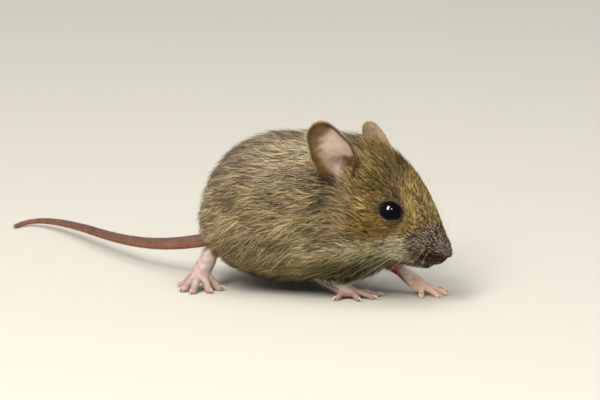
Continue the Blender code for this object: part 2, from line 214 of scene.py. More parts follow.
def build_surround():
    """A pale surround that lights the shade but shows only faintly in a glossy eye."""
    surround = bpy.data.worlds.new("surround")
    surround.use_nodes = True
    nodes_new = surround.node_tree.nodes.new
    mirrored = nodes_new("ShaderNodeLightPath").outputs["Is Glossy Ray"]
    strength = fed(nodes_new("ShaderNodeMapRange"), {
        "Value": mirrored, "To Min": SURROUND_STRENGTH,
        "To Max": SURROUND_STRENGTH * SURROUND_IN_GLOSS,
    })
    fed(surround.node_tree.nodes["Background"], {
        "Color": (*SURROUND_COLOUR, 1), "Strength": strength.outputs["Result"],
    })
    bpy.context.scene.world = surround


build_floor()
soft_panel("window", -28, 46, 0.6, (0.20, 0.36), 3.2, (1.0, 0.99, 0.95))
soft_panel("doorway", 12, 38, 0.6, (0.09, 0.14), 0.30, (0.97, 0.98, 1.0))
overhead = soft_panel("overhead", 10, 80, 0.8, (0.9, 0.9), 4.8, (0.97, 0.98, 1.0))
overhead.visible_glossy = False
build_surround()
bpy.context.scene.view_settings.view_transform = "Standard"
print("a floor, three soft lights and a pale surround")

# %% [markdown]
# The head is turned to the animal's right and leans a little. Sizes on the head are
# easier to give for a head that looks straight ahead, so one matrix holds the turn
# and a helper carries points back to the straight head.

# %% The turn of the head
NECK_PIVOT = Vector((5.0, 0.0, 17.0))
HEAD_TURN = (
    Matrix.Translation(NECK_PIVOT)
    @ Matrix.Rotation(math.radians(-9.0), 4, "Z")
    @ Matrix.Rotation(math.radians(-8.0), 4, "X")
    @ Matrix.Translation(-NECK_PIVOT)
)


TURN = HEAD_TURN.to_3x3()


def straightened(points):
    """Points of the turned head as they would lie on a head that looks ahead."""
    back = np.array(HEAD_TURN.inverted())
    return np.asarray(points) @ back[:3, :3].T + back[:3, 3]


print("the nose points this way:", [round(c, 2) for c in TURN.col[0]])

# %% [markdown]
# ## The skin
# A mouse has one unbroken skin from nose to tail. The frame has its flesh in parts,
# with thin cuts between them. Each part is swelled a little so that the cuts close,
# and a voxel remesh then wraps the whole heap in one even skin. Sculptors merge clay
# in the same way. The eyes stay separate, so a ball a little larger than each eye
# joins the heap and becomes the bulge of the lids.

# %% One closed heap of flesh
SWELL = 0.10
SKIN_VOXEL = 0.17
LID_RADIUS = 2.44
EYE_RADIUS = 2.30
LIPS_STRAIGHT = (28.3, 0.0, 8.4)
LIPS_HALF_SIZES = (2.25, 1.30, 1.15)
FLESH = [
    "nose", "head", "neck", "trunk", "lower_jaw", "thigh_left", "thigh_right",
    "shank_left", "foreleg_left", "foreleg_right", "hindfoot_left", "hindfoot_right",
    "forepaw_left", "forepaw_right",
]
eye_centres = {side: node_centre("eye_" + side) for side in ("left", "right")}


def merged_copy(name, swell):
    """A CAD solid with its loose triangles merged, in millimetres, a little larger."""
    bm = bmesh.new()
    bm.from_mesh(nodes[name].data)
    bmesh.ops.translate(bm, vec=-ORIGIN, verts=bm.verts)
    bmesh.ops.scale(bm, vec=(1 / MM,) * 3, verts=bm.verts)
    bmesh.ops.remove_doubles(bm, verts=bm.verts, dist=0.001)
    bm.normal_update()
    shifts = [vert.normal * swell for vert in bm.verts]
    for vert, shift in zip(bm.verts, shifts):
        vert.co += shift
    return bm


def append(target, source):
    """Adds one bmesh to another and frees it."""
    carrier = mesh_of("carrier", source)
    target.from_mesh(carrier)
    bpy.data.meshes.remove(carrier)


def heap_of_flesh():
    heap = bmesh.new()
    for name in FLESH:
        append(heap, merged_copy(name, SWELL))
    for centre in eye_centres.values():
        bmesh.ops.create_uvsphere(
            heap, u_segments=48, v_segments=32, radius=LID_RADIUS + SWELL,
            matrix=Matrix.Translation(centre),
        )
    lips = HEAD_TURN @ Matrix.Translation(LIPS_STRAIGHT)
    bmesh.ops.create_uvsphere(
        heap, u_segments=32, v_segments=20, radius=1.0,
        matrix=lips @ Matrix.Diagonal((*LIPS_HALF_SIZES, 1.0)),
    )
    return mesh_of("heap", heap)


def with_modifier(mesh, kind, hidden=(), **settings):
    """A mesh with one modifier applied, which may keep to a group of hidden points."""
    carrier = linked("carrier", mesh)
    if hidden:
        carrier.vertex_groups.new(name="hidden").add(hidden, 1.0, "REPLACE")
    modifier = carrier.modifiers.new("change", kind)
    for key, value in settings.items():
        setattr(modifier, key, value)
    graph = bpy.context.evaluated_depsgraph_get()
    changed = bpy.data.meshes.new_from_object(carrier.evaluated_get(graph))
    bpy.data.objects.remove(carrier)
    return changed


def as_rows(mesh):
    """Points, normals and edges of a mesh."""
    points, normals = (listed(mesh.vertices, key, 3) for key in ("co", "normal"))
    return points, normals, listed(mesh.edges, "vertices", 2, np.int64)


def moved(mesh, rows):
    """Points, normals and edges of a mesh once its points are moved to the rows."""
    mesh.vertices.foreach_set("co", rows.ravel())
    mesh.update()
    return as_rows(mesh)


def relaxed(rows, edges, rounds, share=0.5):
    """Rows of numbers on the points, each drawn towards the mean of its neighbours."""
    rows = np.array(rows, float)
    flat = rows.ndim == 1
    rows = rows.reshape(len(rows), -1)
    here, there = edges[:, 0], edges[:, 1]
    ties = np.bincount(edges.ravel(), minlength=len(rows))[:, None]
    for _ in range(rounds):
        total = np.stack(
            [
                np.bincount(here, column[there], len(rows))
                + np.bincount(there, column[here], len(rows))
                for column in rows.T
            ],
            axis=1,
        )
        rows += (total / np.maximum(ties, 1) - rows) * share
    return rows[:, 0] if flat else rows


skin_mesh = with_modifier(heap_of_flesh(), "REMESH", mode="VOXEL", voxel_size=SKIN_VOXEL)
points, _, edges = as_rows(skin_mesh)
points, normals, edges = moved(skin_mesh, relaxed(points, edges, 4))
tell("fine skin:", len(points), "points")

# %% [markdown]
# Each point of the skin is told which part of the animal it belongs to, by looking up
# the nearest solid. From that and from its place comes the depth of the coat there.
# The solids reach out to the tips of the coat, so the skin is drawn in by that depth.

# %% Parts and depth of the coat


def part_of_each(rows):
    """The number of the flesh solid that is nearest to each point."""
    corners, faces, owners = [], [], []
    for owner, name in enumerate(FLESH):
        bm = merged_copy(name, 0.0)
        bmesh.ops.triangulate(bm, faces=bm.faces)
        first = len(corners)
        corners += [vert.co.copy() for vert in bm.verts]
        bm.verts.index_update()
        faces += [[first + vert.index for vert in face.verts] for face in bm.faces]
        owners += [owner] * len(bm.faces)
        bm.free()
    tree = BVHTree.FromPolygons(corners, faces)
    return np.array([owners[tree.find_nearest(row)[2]] for row in rows])


def on_parts(parts, *names):
    """1 where a point is on one of the named parts, else 0."""
    return np.isin(parts, [FLESH.index(name) for name in names]).astype(float)


FEET = ("hindfoot_left", "hindfoot_right", "forepaw_left", "forepaw_right")
BODY_COAT = 1.55
# Coat of single parts. On the feet it is below 0, as bare toes are plumper than solids.
COAT_OF_PARTS = (
    (("nose",), 0.12), (("shank_left", "foreleg_right"), 0.55), (("foreleg_left",), 0.45),
)
COAT_OF_FEET = ((FEET, -0.13), (("hindfoot_right", "hindfoot_left"), -0.20))


def eye_gap(rows):
    """Distance of each point from the centre of the nearer eye."""
    gaps = [np.linalg.norm(rows - np.array(centre), axis=1) for centre in eye_centres.values()]
    return np.minimum(*gaps)


def coat_depth(rows, parts, ties):
    """How far the coat stands over the skin, in millimetres."""

    def with_parts(depth, table):
        for names, value in table:
            depth = np.where(on_parts(parts, *names) > 0, value, depth)
        return depth

    head = 1.25 - 0.95 * smoothstep(17.0, 27.0, straightened(rows)[:, 0])
    face = on_parts(parts, "head", "nose", "lower_jaw")
    depth = with_parts(np.where(face > 0, head, BODY_COAT), COAT_OF_PARTS)
    depth *= 1.0 - 0.45 * (1 - smoothstep(2.5, 6.0, rows[:, 2]))
    depth = relaxed(with_parts(depth, COAT_OF_FEET), ties, 60)
    return depth * smoothstep(LID_RADIUS + 0.15, LID_RADIUS + 2.2, eye_gap(rows))


parts = part_of_each(points)
depth = coat_depth(points, parts, edges)
tell("coat up to", round(depth.max(), 2), "mm deep on", len(FLESH), "parts")

# %% [markdown]
# Some forms of the face are too fine for the solids. The chin and the pad of the nose
# come forward a little and the snout is hollowed above it. The line of the mouth, the
# nostrils and the split of the nose are pressed in last.

# %% Snout and mouth
SOLE_HEIGHT = 0.01
NOSTRILS = ((31.3, -0.72, 9.95), (31.3, 0.72, 9.95))
MOUTH_CORNER = (25.4, 3.1, 8.9)
MOUTH_FRONT = (30.2, 0.9, 8.75)


def near(rows, place, reach):
    """1 at a place on the straight head, falling softly to 0 at the given reach."""
    gap = np.linalg.norm(straightened(rows) - np.array(place), axis=1)
    return smoothstep(reach, 0.0, gap)


def snout_relief(rows, parts):
    """The hollow above the nose pad, the fuller nose and the chin brought forward."""
    ahead = straightened(rows)
    forward, _, above = np.array(TURN).T
    chin = on_parts(parts, "lower_jaw") * smoothstep(21.5, 26.0, ahead[:, 0])
    pad = smoothstep(29.2, 30.6, ahead[:, 0]) * smoothstep(10.6, 9.2, ahead[:, 2])
    shift = forward * (0.80 * chin + 0.30 * pad)[:, None]
    hollow = 1.00 * near(rows, (30.0, 0.0, 13.4), 2.4)
    lifted = 0.60 * near(rows, (30.2, 0.0, 8.2), 1.9) * (1 - chin)
    return shift + above * (lifted - hollow)[:, None]


def mouth_gap(rows):
    """Distance from the line between the lips, with both sides folded on to one."""
    ahead = straightened(rows)
    ahead[:, 1] = np.abs(ahead[:, 1])
    front, corner = np.array(MOUTH_FRONT), np.array(MOUTH_CORNER)
    way = corner - front
    share = np.clip((ahead - front) @ way / (way @ way), 0.0, 1.0)
    return np.linalg.norm(ahead - front - share[:, None] * way, axis=1)


def fine_creases(rows):
    """How far the mouth line, the nostrils and the split of the nose are pressed in."""
    ahead = straightened(rows)
    press = 0.45 * smoothstep(0.55, 0.0, mouth_gap(rows))
    for nostril in NOSTRILS:
        press += 0.45 * near(rows, nostril, 0.55)
    split = smoothstep(0.28, 0.0, np.abs(ahead[:, 1])) * smoothstep(29.6, 30.6, ahead[:, 0])
    return press + 0.22 * split * smoothstep(10.9, 10.2, ahead[:, 2])


inward = unit(relaxed(normals, edges, 12))
points = points + relaxed(snout_relief(points, parts), edges, 8)
points = points - inward * (depth + SWELL)[:, None]
points = relaxed(points, edges, 2)
points = points - inward * fine_creases(points)[:, None]
points[:, 2] = np.maximum(points[:, 2], SOLE_HEIGHT)
tell("skin drawn in by up to", round(depth.max(), 2), "mm")

# %% [markdown]
# The body is hidden by the coat, so it needs fewer faces than the bare feet. Decimate
# with a vertex group thins the hidden part only.

# %% Thin the hidden faces
BODY_SHARE = 0.34  # of the faces below the coat, this many stay


def carried_over(old_rows, new_rows):
    """For each new point, the number of the nearest old one."""
    tree = KDTree(len(old_rows))
    for i, row in enumerate(old_rows):
        tree.insert(row, i)
    tree.balance()
    return np.array([tree.find(row)[1] for row in new_rows])


bare = relaxed(on_parts(parts, *FEET), edges, 6)
moved(skin_mesh, points)
skin_mesh = with_modifier(
    skin_mesh, "DECIMATE", [int(i) for i in np.flatnonzero(bare < 0.5)], ratio=BODY_SHARE,
    vertex_group="hidden", vertex_group_factor=10.0, use_collapse_triangulate=True,
)
fine_points = points
points, normals, edges = as_rows(skin_mesh)
nearest = carried_over(fine_points, points)
depth, parts = depth[nearest], parts[nearest]
tell("skin:", len(points), "points,", len(skin_mesh.polygons), "faces")

# %% [markdown]
# ## Ears
# The ears are large, thin and nearly bare, so light shines through them. Each is
# drawn as a flat round grid, shaped to an egg outline and rolled into a cup. Ridges
# are pushed up where the folds run into the ear, the rim is curled in, and Solidify
# gives the sheet its thickness.

# %% Ears
EAR_LENGTH = 11.5
EAR_HALF_WIDTH = 4.45
EAR_FOOT_WIDTH = 0.74
EAR_ROLL_LOW, EAR_ROLL_HIGH = 1.05, 0.50
EAR_THICKNESS = 0.26
EDGE_SHARES = (0.0, 0.2, 0.4, 0.6, 0.8, 1.0)
Ear = namedtuple("Ear", "foot up facing sweep back_edge front_edge roundness")
EARS = {
    "right": Ear(
        (11.5, -7.05, 20.0), (-0.15, -0.04, 0.99), (0.45, -0.89, 0.0), 2.2,
        (0.55, 1.06, 1.05, 0.98, 1.06, 1.00), (0.74, 1.00, 1.13, 0.99, 0.76, 0.66), 0.5,
    ),
    "left": Ear(
        (11.2, 7.05, 19.55), (-0.15, 0.12, 0.98), (0.45, 0.89, 0.0), 2.9,
        (0.55, 0.95, 0.98, 1.10, 1.40, 1.52), (0.75, 0.82, 0.83, 0.82, 0.77, 0.80), 0.40,
    ),
}


def ear_axes(ear):
    """Up the ear, out of its opening and towards its front edge."""
    up = Vector(ear.up).normalized()
    facing = Vector(ear.facing)
    facing = (facing - up * facing.dot(up)).normalized()
    forward = up.cross(facing)
    forward *= math.copysign(1.0, forward.x)
    return up, facing, forward


def hump(value, middle, reach):
    """1 at the middle, falling softly to nothing on both sides of it."""
    return np.exp(-(((value - middle) / reach) ** 2))


def ear_relief(aside, share, radius):
    """How far a point of the sheet is pushed out of the opening by curl and folds."""
    curl = 0.30 * smoothstep(0.84, 1.0, radius)
    front = 0.45 * smoothstep(0.55, 1.0, aside) * smoothstep(0.15, 0.50, share)
    fold = 0.50 * hump(aside, 0.02 + 0.4 * share, 0.20) * smoothstep(0.40, 0.22, share)
    canal = 0.75 * hump(aside, 0.55, 0.24) * hump(share, 0.20, 0.15)
    lip = 0.22 * hump(aside, 0.52, 0.20) * hump(share, 0.40, 0.045)
    ripple = 0.03 * math.sin(share * 46.0) * smoothstep(0.30, 0.45, share)
    ripple *= smoothstep(0.85, 0.70, share) * smoothstep(0.75, 0.4, abs(aside))
    return float(curl + front + fold - canal + lip + ripple)


def ease(share):
    return float(smoothstep(0.0, 1.0, share))


def eased_between(value, places, heights):
    """A smooth line through the heights at the given places."""
    for left, right, low, high in zip(places, places[1:], heights, heights[1:]):
        if value <= right:
            break
    return low + (high - low) * ease((value - left) / (right - left))


def build_ear(ear):
    up, facing, forward = ear_axes(ear)
    bm = bmesh.new()
    bmesh.ops.create_grid(bm, x_segments=40, y_segments=46, size=1.0)
    bm.verts.layers.float.new("aside")
    bm.verts.layers.float.new("share")
    aside_layer = bm.verts.layers.float["aside"]
    share_layer = bm.verts.layers.float["share"]
    for vert in bm.verts:
        aside = vert.co.x * math.sqrt(1 - vert.co.y**2 / 2)
        height = vert.co.y * (1 - vert.co.x**2 / 2) ** ear.roundness
        if vert.co.y < 0:
            aside = vert.co.x * (1 - 0.16 * vert.co.y**2)
            height = vert.co.y
        share = (height + 1) / 2
        spread = EAR_FOOT_WIDTH + (1 - EAR_FOOT_WIDTH) * ease(share / 0.45)
        half_roll = EAR_ROLL_LOW + (EAR_ROLL_HIGH - EAR_ROLL_LOW) * ease(share / 0.75)
        radius = EAR_HALF_WIDTH * spread / half_roll
        reaches = ear.front_edge if aside > 0 else ear.back_edge
        turn = aside * half_roll * eased_between(share, EDGE_SHARES, reaches)
        edge = max(abs(aside), math.hypot(aside, max(height, 0.0)))
        relief = ear_relief(aside, share, edge)
        vert.co = Vector(ear.foot) + up * (EAR_LENGTH * share)
        vert.co += forward * ((radius - relief) * math.sin(turn) - ear.sweep * share**2)
        vert.co += facing * (radius - (radius - relief) * math.cos(turn))
        vert[aside_layer] = aside
        vert[share_layer] = share
    bmesh.ops.recalc_face_normals(bm, faces=bm.faces)
    mesh = mesh_of("ear", bm)
    mesh.transform(HEAD_TURN)
    return with_modifier(
        mesh, "SOLIDIFY", thickness=EAR_THICKNESS, offset=0.0, use_even_offset=True
    )


ear_meshes = {side: build_ear(ear) for side, ear in EARS.items()}
print("each ear:", len(ear_meshes["right"].polygons), "faces")

# %% [markdown]
# ## Tail
# The tail is nearly bare and covered in fine rings of scale. A circle is drawn along
# its curve in many short steps, and every second step is a little narrower, which
# makes the rings real furrows.

# %% Tail
TAIL_PATH = (
    (-15.6, 0.1, 7.6), (-16.8, 0.2, 7.4), (-21.4, 0.5, 6.4), (-26.4, 2.2, 5.3),
    (-31.8, 4.9, 4.4), (-37.6, 8.6, 3.7), (-44.0, 13.6, 3.1), (-50.6, 19.2, 2.6),
    (-56.0, 23.6, 2.1), (-60.9, 27.0, 1.6), (-64.8, 28.6, 1.1), (-67.2, 27.8, 0.7),
    (-68.3, 25.2, 0.42),
)
TAIL_RADII = (
    1.24, 1.20, 1.15, 1.08, 1.00, 0.92, 0.84, 0.76, 0.67, 0.58, 0.49, 0.42, 0.36,
)
TAIL_RING = 0.42
TAIL_SIDES = 20
FURROW = 0.955  # the radius of a furrow as a share of the ring beside it
TAIL_TIP = (0.97, 0.86, 0.62, 0.25)


def smooth_rows(rows, steps):
    """Rows of numbers with steps - 1 more set between each pair, on a smooth curve."""
    rows = np.asarray(rows, float)
    ends = np.vstack([2 * rows[0] - rows[1], rows, 2 * rows[-1] - rows[-2]])
    out = []
    for before, here, after, beyond in zip(ends, ends[1:], ends[2:], ends[3:]):
        for step in range(steps):
            t = step / steps
            bend = 2 * before - 5 * here + 4 * after - beyond
            twist = 3 * here - before - 3 * after + beyond
            out.append(0.5 * (2 * here + (after - before) * t + bend * t**2 + twist * t**3))
    out.append(rows[-1])
    return np.array(out)


def evenly_spaced(rows, step):
    """The same curve with points a given step apart."""
    gaps = np.linalg.norm(np.diff(rows[:, :3], axis=0), axis=1)
    along = np.concatenate([[0], np.cumsum(gaps)])
    places = np.arange(0, along[-1], step)
    places = np.append(places, along[-1])
    return np.stack([np.interp(places, along, column) for column in rows.T], axis=1)


def sort_faces(bm):
    """Faces in the order of their points, so that they are the same in each run."""
    bm.verts.index_update()
    count = len(bm.verts)
    bm.faces.sort(key=lambda face: face.verts[0].index * count + face.verts[2].index)
    bm.faces.index_update()


def tube(name, path, radii, sides, closed=False):
    """A tube through the points of a path, with each ring's number kept on its points."""
    bm = bmesh.new()
    ring_layer = bm.verts.layers.float.new("ring")
    path = [Vector(point) for point in path]
    ring = first = bmesh.ops.create_circle(bm, segments=sides, radius=1.0)["verts"]
    shape = [vert.co.copy() for vert in ring]
    lean = Vector((0, 0, 1))
    for i, (point, radius) in enumerate(zip(path, radii)):
        before = path[i - 1] if (closed or i) else point
        after = path[(i + 1) % len(path)] if (closed or i + 1 < len(path)) else point
        along = (after - before).normalized()
        side = lean.cross(along).normalized()
        lean = along.cross(side)
        if i:
            loops = [e for e in bm.edges if e.verts[0] in ring_set and e.verts[1] in ring_set]
            new = bmesh.ops.extrude_edge_only(bm, edges=loops)["geom"]
            ring = match_ring(ring, [g for g in new if isinstance(g, bmesh.types.BMVert)])
        for vert, drawn in zip(ring, shape):
            vert.co = point + (side * drawn.x + lean * drawn.y) * radius
            vert[ring_layer] = i
        ring_set = set(ring)
    if closed:
        bmesh.ops.bridge_loops(bm, edges=[edge for edge in bm.edges if edge.is_boundary])
    else:
        bmesh.ops.contextual_create(bm, geom=first)
        bmesh.ops.contextual_create(bm, geom=ring)
    bmesh.ops.recalc_face_normals(bm, faces=bm.faces)
    sort_faces(bm)
    return mesh_of(name, bm)


def match_ring(old, new):
    """The new ring's points in the order of the old ring's."""
    new = set(new)
    across = [[edge.other_vert(vert) for edge in vert.link_edges] for vert in old]
    return [next(vert for vert in near_by if vert in new) for near_by in across]


tail_drawn = smooth_rows(np.column_stack([TAIL_PATH, TAIL_RADII]), 12)
tail_line = evenly_spaced(tail_drawn, TAIL_RING / 2)
tail_radii = tail_line[:, 3] * np.where(np.arange(len(tail_line)) % 2 == 0, 1.0, FURROW)
tail_radii[-4:] *= TAIL_TIP
tail_mesh = tube("tail", tail_line[:, :3], tail_radii, TAIL_SIDES)
tell("tail:", len(tail_mesh.polygons), "faces")

# %% [markdown]
# ## Eyes and lids
# A mouse's eye is a black bead that stands well out of the head. The opening between
# the lids is a wide oval. Inside it the skin is pressed back behind the eyeball, and a
# narrow dark rim runs round its edge.

# %% Eyes and lids
EYE_OUTWARD = {"right": (0.46, -0.87, 0.20), "left": (0.46, 0.87, 0.20)}
EYE_FRONT = (0.97, 0.0, -0.14)
OPENING_HALF_WIDTH = 2.32
OPENING_HALF_HEIGHT = 1.78
RIM_RADIUS = 0.11
FRONT_SWELL = 0.03  # how much the clear front stands out, as a share of the radius
BEHIND_EYE = 0.35  # how far the skin lies behind the eye's surface


def eye_axes(side):
    """Out of the eye, along the opening to its front corner, and up across it."""
    outward = (TURN @ Vector(EYE_OUTWARD[side])).normalized()
    front = TURN @ Vector(EYE_FRONT)
    front = (front - outward * front.dot(outward)).normalized()
    above = outward.cross(front)
    above *= math.copysign(1.0, above.z)
    return outward, front, above


def opening_line(side, radius, grow_by=0.0, count=72):
    """Points round the opening, on a ball of the given radius about the eye."""
    outward, front, above = eye_axes(side)
    centre = Vector(eye_centres[side])
    line = []
    for i in range(count):
        angle = 2 * math.pi * i / count
        x = (OPENING_HALF_WIDTH + grow_by) * math.cos(angle)
        y = (OPENING_HALF_HEIGHT + grow_by) * math.sin(angle)
        y *= 1.0 - 0.10 * math.cos(angle) ** 2
        out = math.sqrt(max(radius**2 - x * x - y * y, 0.01))
        line.append(centre + front * x + above * y + outward * out)
    return line


def in_opening(rows, side, grow_by=0.0):
    """True for points that lie over the opening."""
    outward, front, above = (np.array(axis) for axis in eye_axes(side))
    gap = rows - np.array(eye_centres[side])
    x = gap @ front / (OPENING_HALF_WIDTH + grow_by)
    y = gap @ above / (OPENING_HALF_HEIGHT + grow_by)
    beside = np.linalg.norm(gap, axis=1) < 3.6
    return (x * x + y * y < 1.0) & (gap @ outward > 0) & beside


lid_rims = []
for side, centre in eye_centres.items():
    pressed = in_opening(points, side)
    gap = points[pressed] - np.array(centre)
    points[pressed] = np.array(centre) + unit(gap) * (EYE_RADIUS - BEHIND_EYE)
    line = opening_line(side, LID_RADIUS - 0.02)
    lid_rims.append(tube("lid_rim", line, [RIM_RADIUS] * len(line), 8, closed=True))
points, normals, edges = moved(skin_mesh, points)


def build_eye(side):
    """A glossy ball whose clear front swells a little."""
    outward, _, _ = eye_axes(side)
    bm = bmesh.new()
    bmesh.ops.create_uvsphere(bm, u_segments=64, v_segments=40, radius=EYE_RADIUS)
    for vert in bm.verts:
        share = float(smoothstep(0.55, 1.0, vert.co.normalized().dot(outward)))
        vert.co *= 1.0 + FRONT_SWELL * share
    bmesh.ops.translate(bm, vec=Vector(eye_centres[side]), verts=bm.verts)
    sort_faces(bm)
    mesh = mesh_of("eye_" + side, bm)
    mesh.shade_smooth()
    return mesh


eye_material, eye_shader = paint("eye_black", (0.0025, 0.002, 0.002), 0.04)
fed(eye_shader, {"Coat Weight": 1.0, "Coat Roughness": 0.02, "IOR": 1.40})
for side in eye_centres:
    eye = finished_object("eyeball_" + side, build_eye(side))
    eye.data.materials.append(eye_material)
    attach(eye, "root")
    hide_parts("eye_" + side)
tell("eyes and lids:", len(eye_centres))

# %% [markdown]
# ## Markings
# The back is greyer and darker, the flanks are buff, the crown and cheeks golden, the
# throat and belly pale, and the muzzle a dark purplish brown. Shade is painted in as
# well: the undersides of the body, jaw and throat darken, and a painted shadow lies
# under each ear. The same function colours the skin and the coat, so the two always
# agree. Colours change with place on the body, through soft steps.

# %% Named colours
COLOURS_PAINTED = {
    "back": (172, 152, 125), "flank": (170, 148, 110), "shoulder": (157, 136, 97),
    # The last colour of this line is painted shade for the underside.
    "rump": (212, 187, 147), "belly": (143, 130, 88), "shaded_underside": (94, 86, 54),
    "crown": (172, 141, 84), "forehead": (101, 81, 42), "bridge": (150, 126, 74),
    "cheek": (134, 108, 51), "throat": (196, 183, 141), "muzzle": (96, 77, 57),
    # The last colour of this line is dark fur, and painted shadow under each ear.
    "cream": (206, 182, 140), "ochre": (164, 122, 56), "dark_fur_and_shade": (46, 39, 30),
    "eye_ring": (52, 44, 38), "mouth": (92, 36, 26), "leg": (202, 186, 166),
    # The red and paw colours of this line are darkened, partly as painted shade.
    "raw": (158, 58, 40), "foot": (194, 169, 158), "paw": (166, 138, 124),
    "chin": (232, 214, 176), "flush": (188, 116, 118), "toe": (248, 204, 176),
    # The first colour of this line is painted light for the sun on the far arm.
    "arm_skin_lit": (255, 232, 218), "nose": (118, 100, 90), "lid_rim": (62, 57, 52),
    # The last colour of this line is pale pink with a painted highlight.
    "ear_cream": (184, 163, 139), "ear_pink": (112, 74, 58), "ear_fold_highlight": (172, 142, 130),
    # The red of this line is partly painted shade.
    "ear_brown": (94, 66, 12), "ear_red_and_shade": (104, 64, 42), "ear_outside": (160, 136, 106),
    # The first and last colours of this line are painted shade.
    "ear_shade": (44, 35, 22), "ear_foot": (96, 76, 52), "ear_edge_shade": (62, 44, 24),
    "ear_rim": (150, 128, 98), "tail_above": (122, 92, 76), "tail_below": (164, 96, 72),
    "toe_pink": (196, 148, 132), "horn": (214, 200, 178), "pale_hair": (186, 164, 118),
    "pale_muzzle_hair": (206, 192, 174), "down_inside": (196, 176, 150),
    "down_red": (126, 90, 56), "down_brown": (108, 78, 22), "down_outside": (156, 132, 96),
    "down_rim": (206, 192, 156), "down_below": (186, 156, 132), "down_above": (122, 94, 74),
    "whisker_root": (92, 80, 68), "whisker_tip": (224, 214, 180),
}
COLOURS = {name: linear(*painted) for name, painted in COLOURS_PAINTED.items()}
print("named colours:", len(COLOURS))

# %% [markdown]
# The large fields of colour come first. Patches are laid over them, on both sides of
# the head and body alike. Each one is strongest at its middle and fades to its edge.

# %% Markings
Patch = namedtuple("Patch", "colour place reach share")
PATCHES = (
    Patch("cream", (3.8, 6.5, 25.5), 5.6, 0.85),
    # Painted shadow under the ear, over its dark hair.
    Patch("dark_fur_and_shade", (10.2, 6.5, 20.8), 3.6, 1.0),
    Patch("ochre", (15.6, 6.4, 22.8), 2.0, 0.50),
    Patch("dark_fur_and_shade", (22.1, 4.9, 18.9), 2.1, 0.65),
    Patch("dark_fur_and_shade", (17.9, 7.2, 17.4), 1.2, 0.70),
    Patch("ochre", (18.8, 6.8, 19.4), 1.6, 0.50),
    Patch("ochre", (21.5, 6.0, 13.6), 2.6, 0.60),
    Patch("throat", (9.0, 9.5, 9.5), 5.0, 0.45),
    Patch("shoulder", (15.2, 7.6, 16.0), 3.6, 0.55),
    Patch("dark_fur_and_shade", (15.0, 7.6, 15.6), 3.4, 0.25),
    Patch("forehead", (23.8, 3.3, 19.6), 2.6, 0.70),
    Patch("dark_fur_and_shade", (15.2, 3.5, 25.8), 4.6, 0.45),
    Patch("dark_fur_and_shade", (28.0, 1.2, 7.8), 2.6, 0.50),
    Patch("chin", (23.4, 4.2, 10.0), 2.8, 0.90),
)


def blend(base, new, share):
    """Colours taken towards a new one, or towards a named one, by each point's share."""
    new = COLOURS[new] if isinstance(new, str) else new
    return base + (new - base) * np.asarray(share)[:, None]


def toned(colours, change):
    """Colours made lighter or darker by each point's change about 0."""
    return colours * (1.0 + change)[:, None]


def mottling(rows, size, seed):
    """A soft random value about 0, in patches of about the given size in mm."""
    chance = np.random.default_rng(seed)
    total = np.zeros(len(rows))
    for _ in range(8):
        way = unit(chance.normal(size=3)) * 2 * math.pi / (size * chance.uniform(1.4, 3.0))
        total += np.sin(rows @ way + chance.uniform(0, 2 * math.pi))
    return total / 4.0


# Colours of the body, in order: each comes in between two places along or up. The last
# step is painted shade low on the body.
BODY_STEPS = (
    ("shoulder", 0, 0.0, 6.0), ("rump", 0, -8.0, -14.0), ("back", 2, 17.0, 24.5),
    ("belly", 2, 10.0, 5.5), ("shaded_underside", 2, 6.5, 3.5),
)
# The pale band along the jaw: its middle's height and its half width.
BAND_ALONG = (8.0, 14.0, 20.0, 24.0, 27.0)
BAND_HEIGHT = (8.3, 9.0, 9.5, 9.2, 8.4)
BAND_HALF = (1.0, 1.3, 1.5, 2.0, 2.2)


def markings(rows):
    """The mean colour of the coat at points in the drawing's millimetres."""
    ahead = straightened(rows)
    along, high = ahead[:, 0], ahead[:, 2]
    body = np.tile(COLOURS["flank"], (len(rows), 1))
    for name, axis, low, full in BODY_STEPS:
        body = blend(body, name, smoothstep(low, full, rows[:, axis]))
    head = np.tile(COLOURS["cheek"], (len(rows), 1))
    head = blend(head, "crown", smoothstep(15.5, 19.5, high))
    head = blend(head, "forehead", smoothstep(15.5, 19.5, high) * smoothstep(15.0, 20.0, along))
    head = blend(head, "bridge", smoothstep(20.0, 24.0, along) * smoothstep(12.5, 15.0, high))
    start = 12.0 - 2.0 * smoothstep(17.0, 21.0, high)
    out = body + (head - body) * smoothstep(0.0, 7.0, along - start)[:, None]
    ragged = 0.35 * mottling(rows, 1.2, 5)
    # Painted shade: below the pale band the jaw and throat darken, where little light reaches.
    underside_shade = smoothstep(0.6, -1.6, high + ragged - 9.6) * smoothstep(9.0, 14.0, along)
    out = blend(out, "shaded_underside", underside_shade * 0.85)
    gap = np.abs(high + ragged - np.interp(along, BAND_ALONG, BAND_HEIGHT))
    gap -= np.interp(along, BAND_ALONG, BAND_HALF)
    out = blend(out, "throat", smoothstep(0.4, -1.0, gap) * smoothstep(9.0, 16.0, along) * 0.9)
    drop = along + 2.2 * ragged - 1.8 * np.maximum(high - 12.3, 0.0)
    out = blend(out, "muzzle", smoothstep(23.4, 26.4, drop))
    sides = ahead.copy()
    sides[:, 1] = np.abs(sides[:, 1])
    for patch in PATCHES:
        gap = np.linalg.norm(sides - np.array(patch.place), axis=1)
        out = blend(out, patch.colour, patch.share * smoothstep(patch.reach, 0.0, gap))
    lips = smoothstep(1.2, 0.3, mouth_gap(rows)) * smoothstep(25.5, 27.5, along)
    out = blend(out, "mouth", 0.9 * lips)
    out = blend(out, "eye_ring", 0.60 * smoothstep(2.72, 2.55, eye_gap(rows)))
    return toned(out, 0.13 * mottling(rows, 3.0, 3))


print("patches:", len(PATCHES))

# %% [markdown]
# The skin below the coat takes the same markings, darker, because little light gets
# down to it. Where it is bare it is pink on the feet and brown on the tail and ears.

# %% Colours of the bare skin
UNDER_COAT, BARE_FOOT, EAR_SKIN, TAIL_SKIN, NOSE_SKIN = range(5)


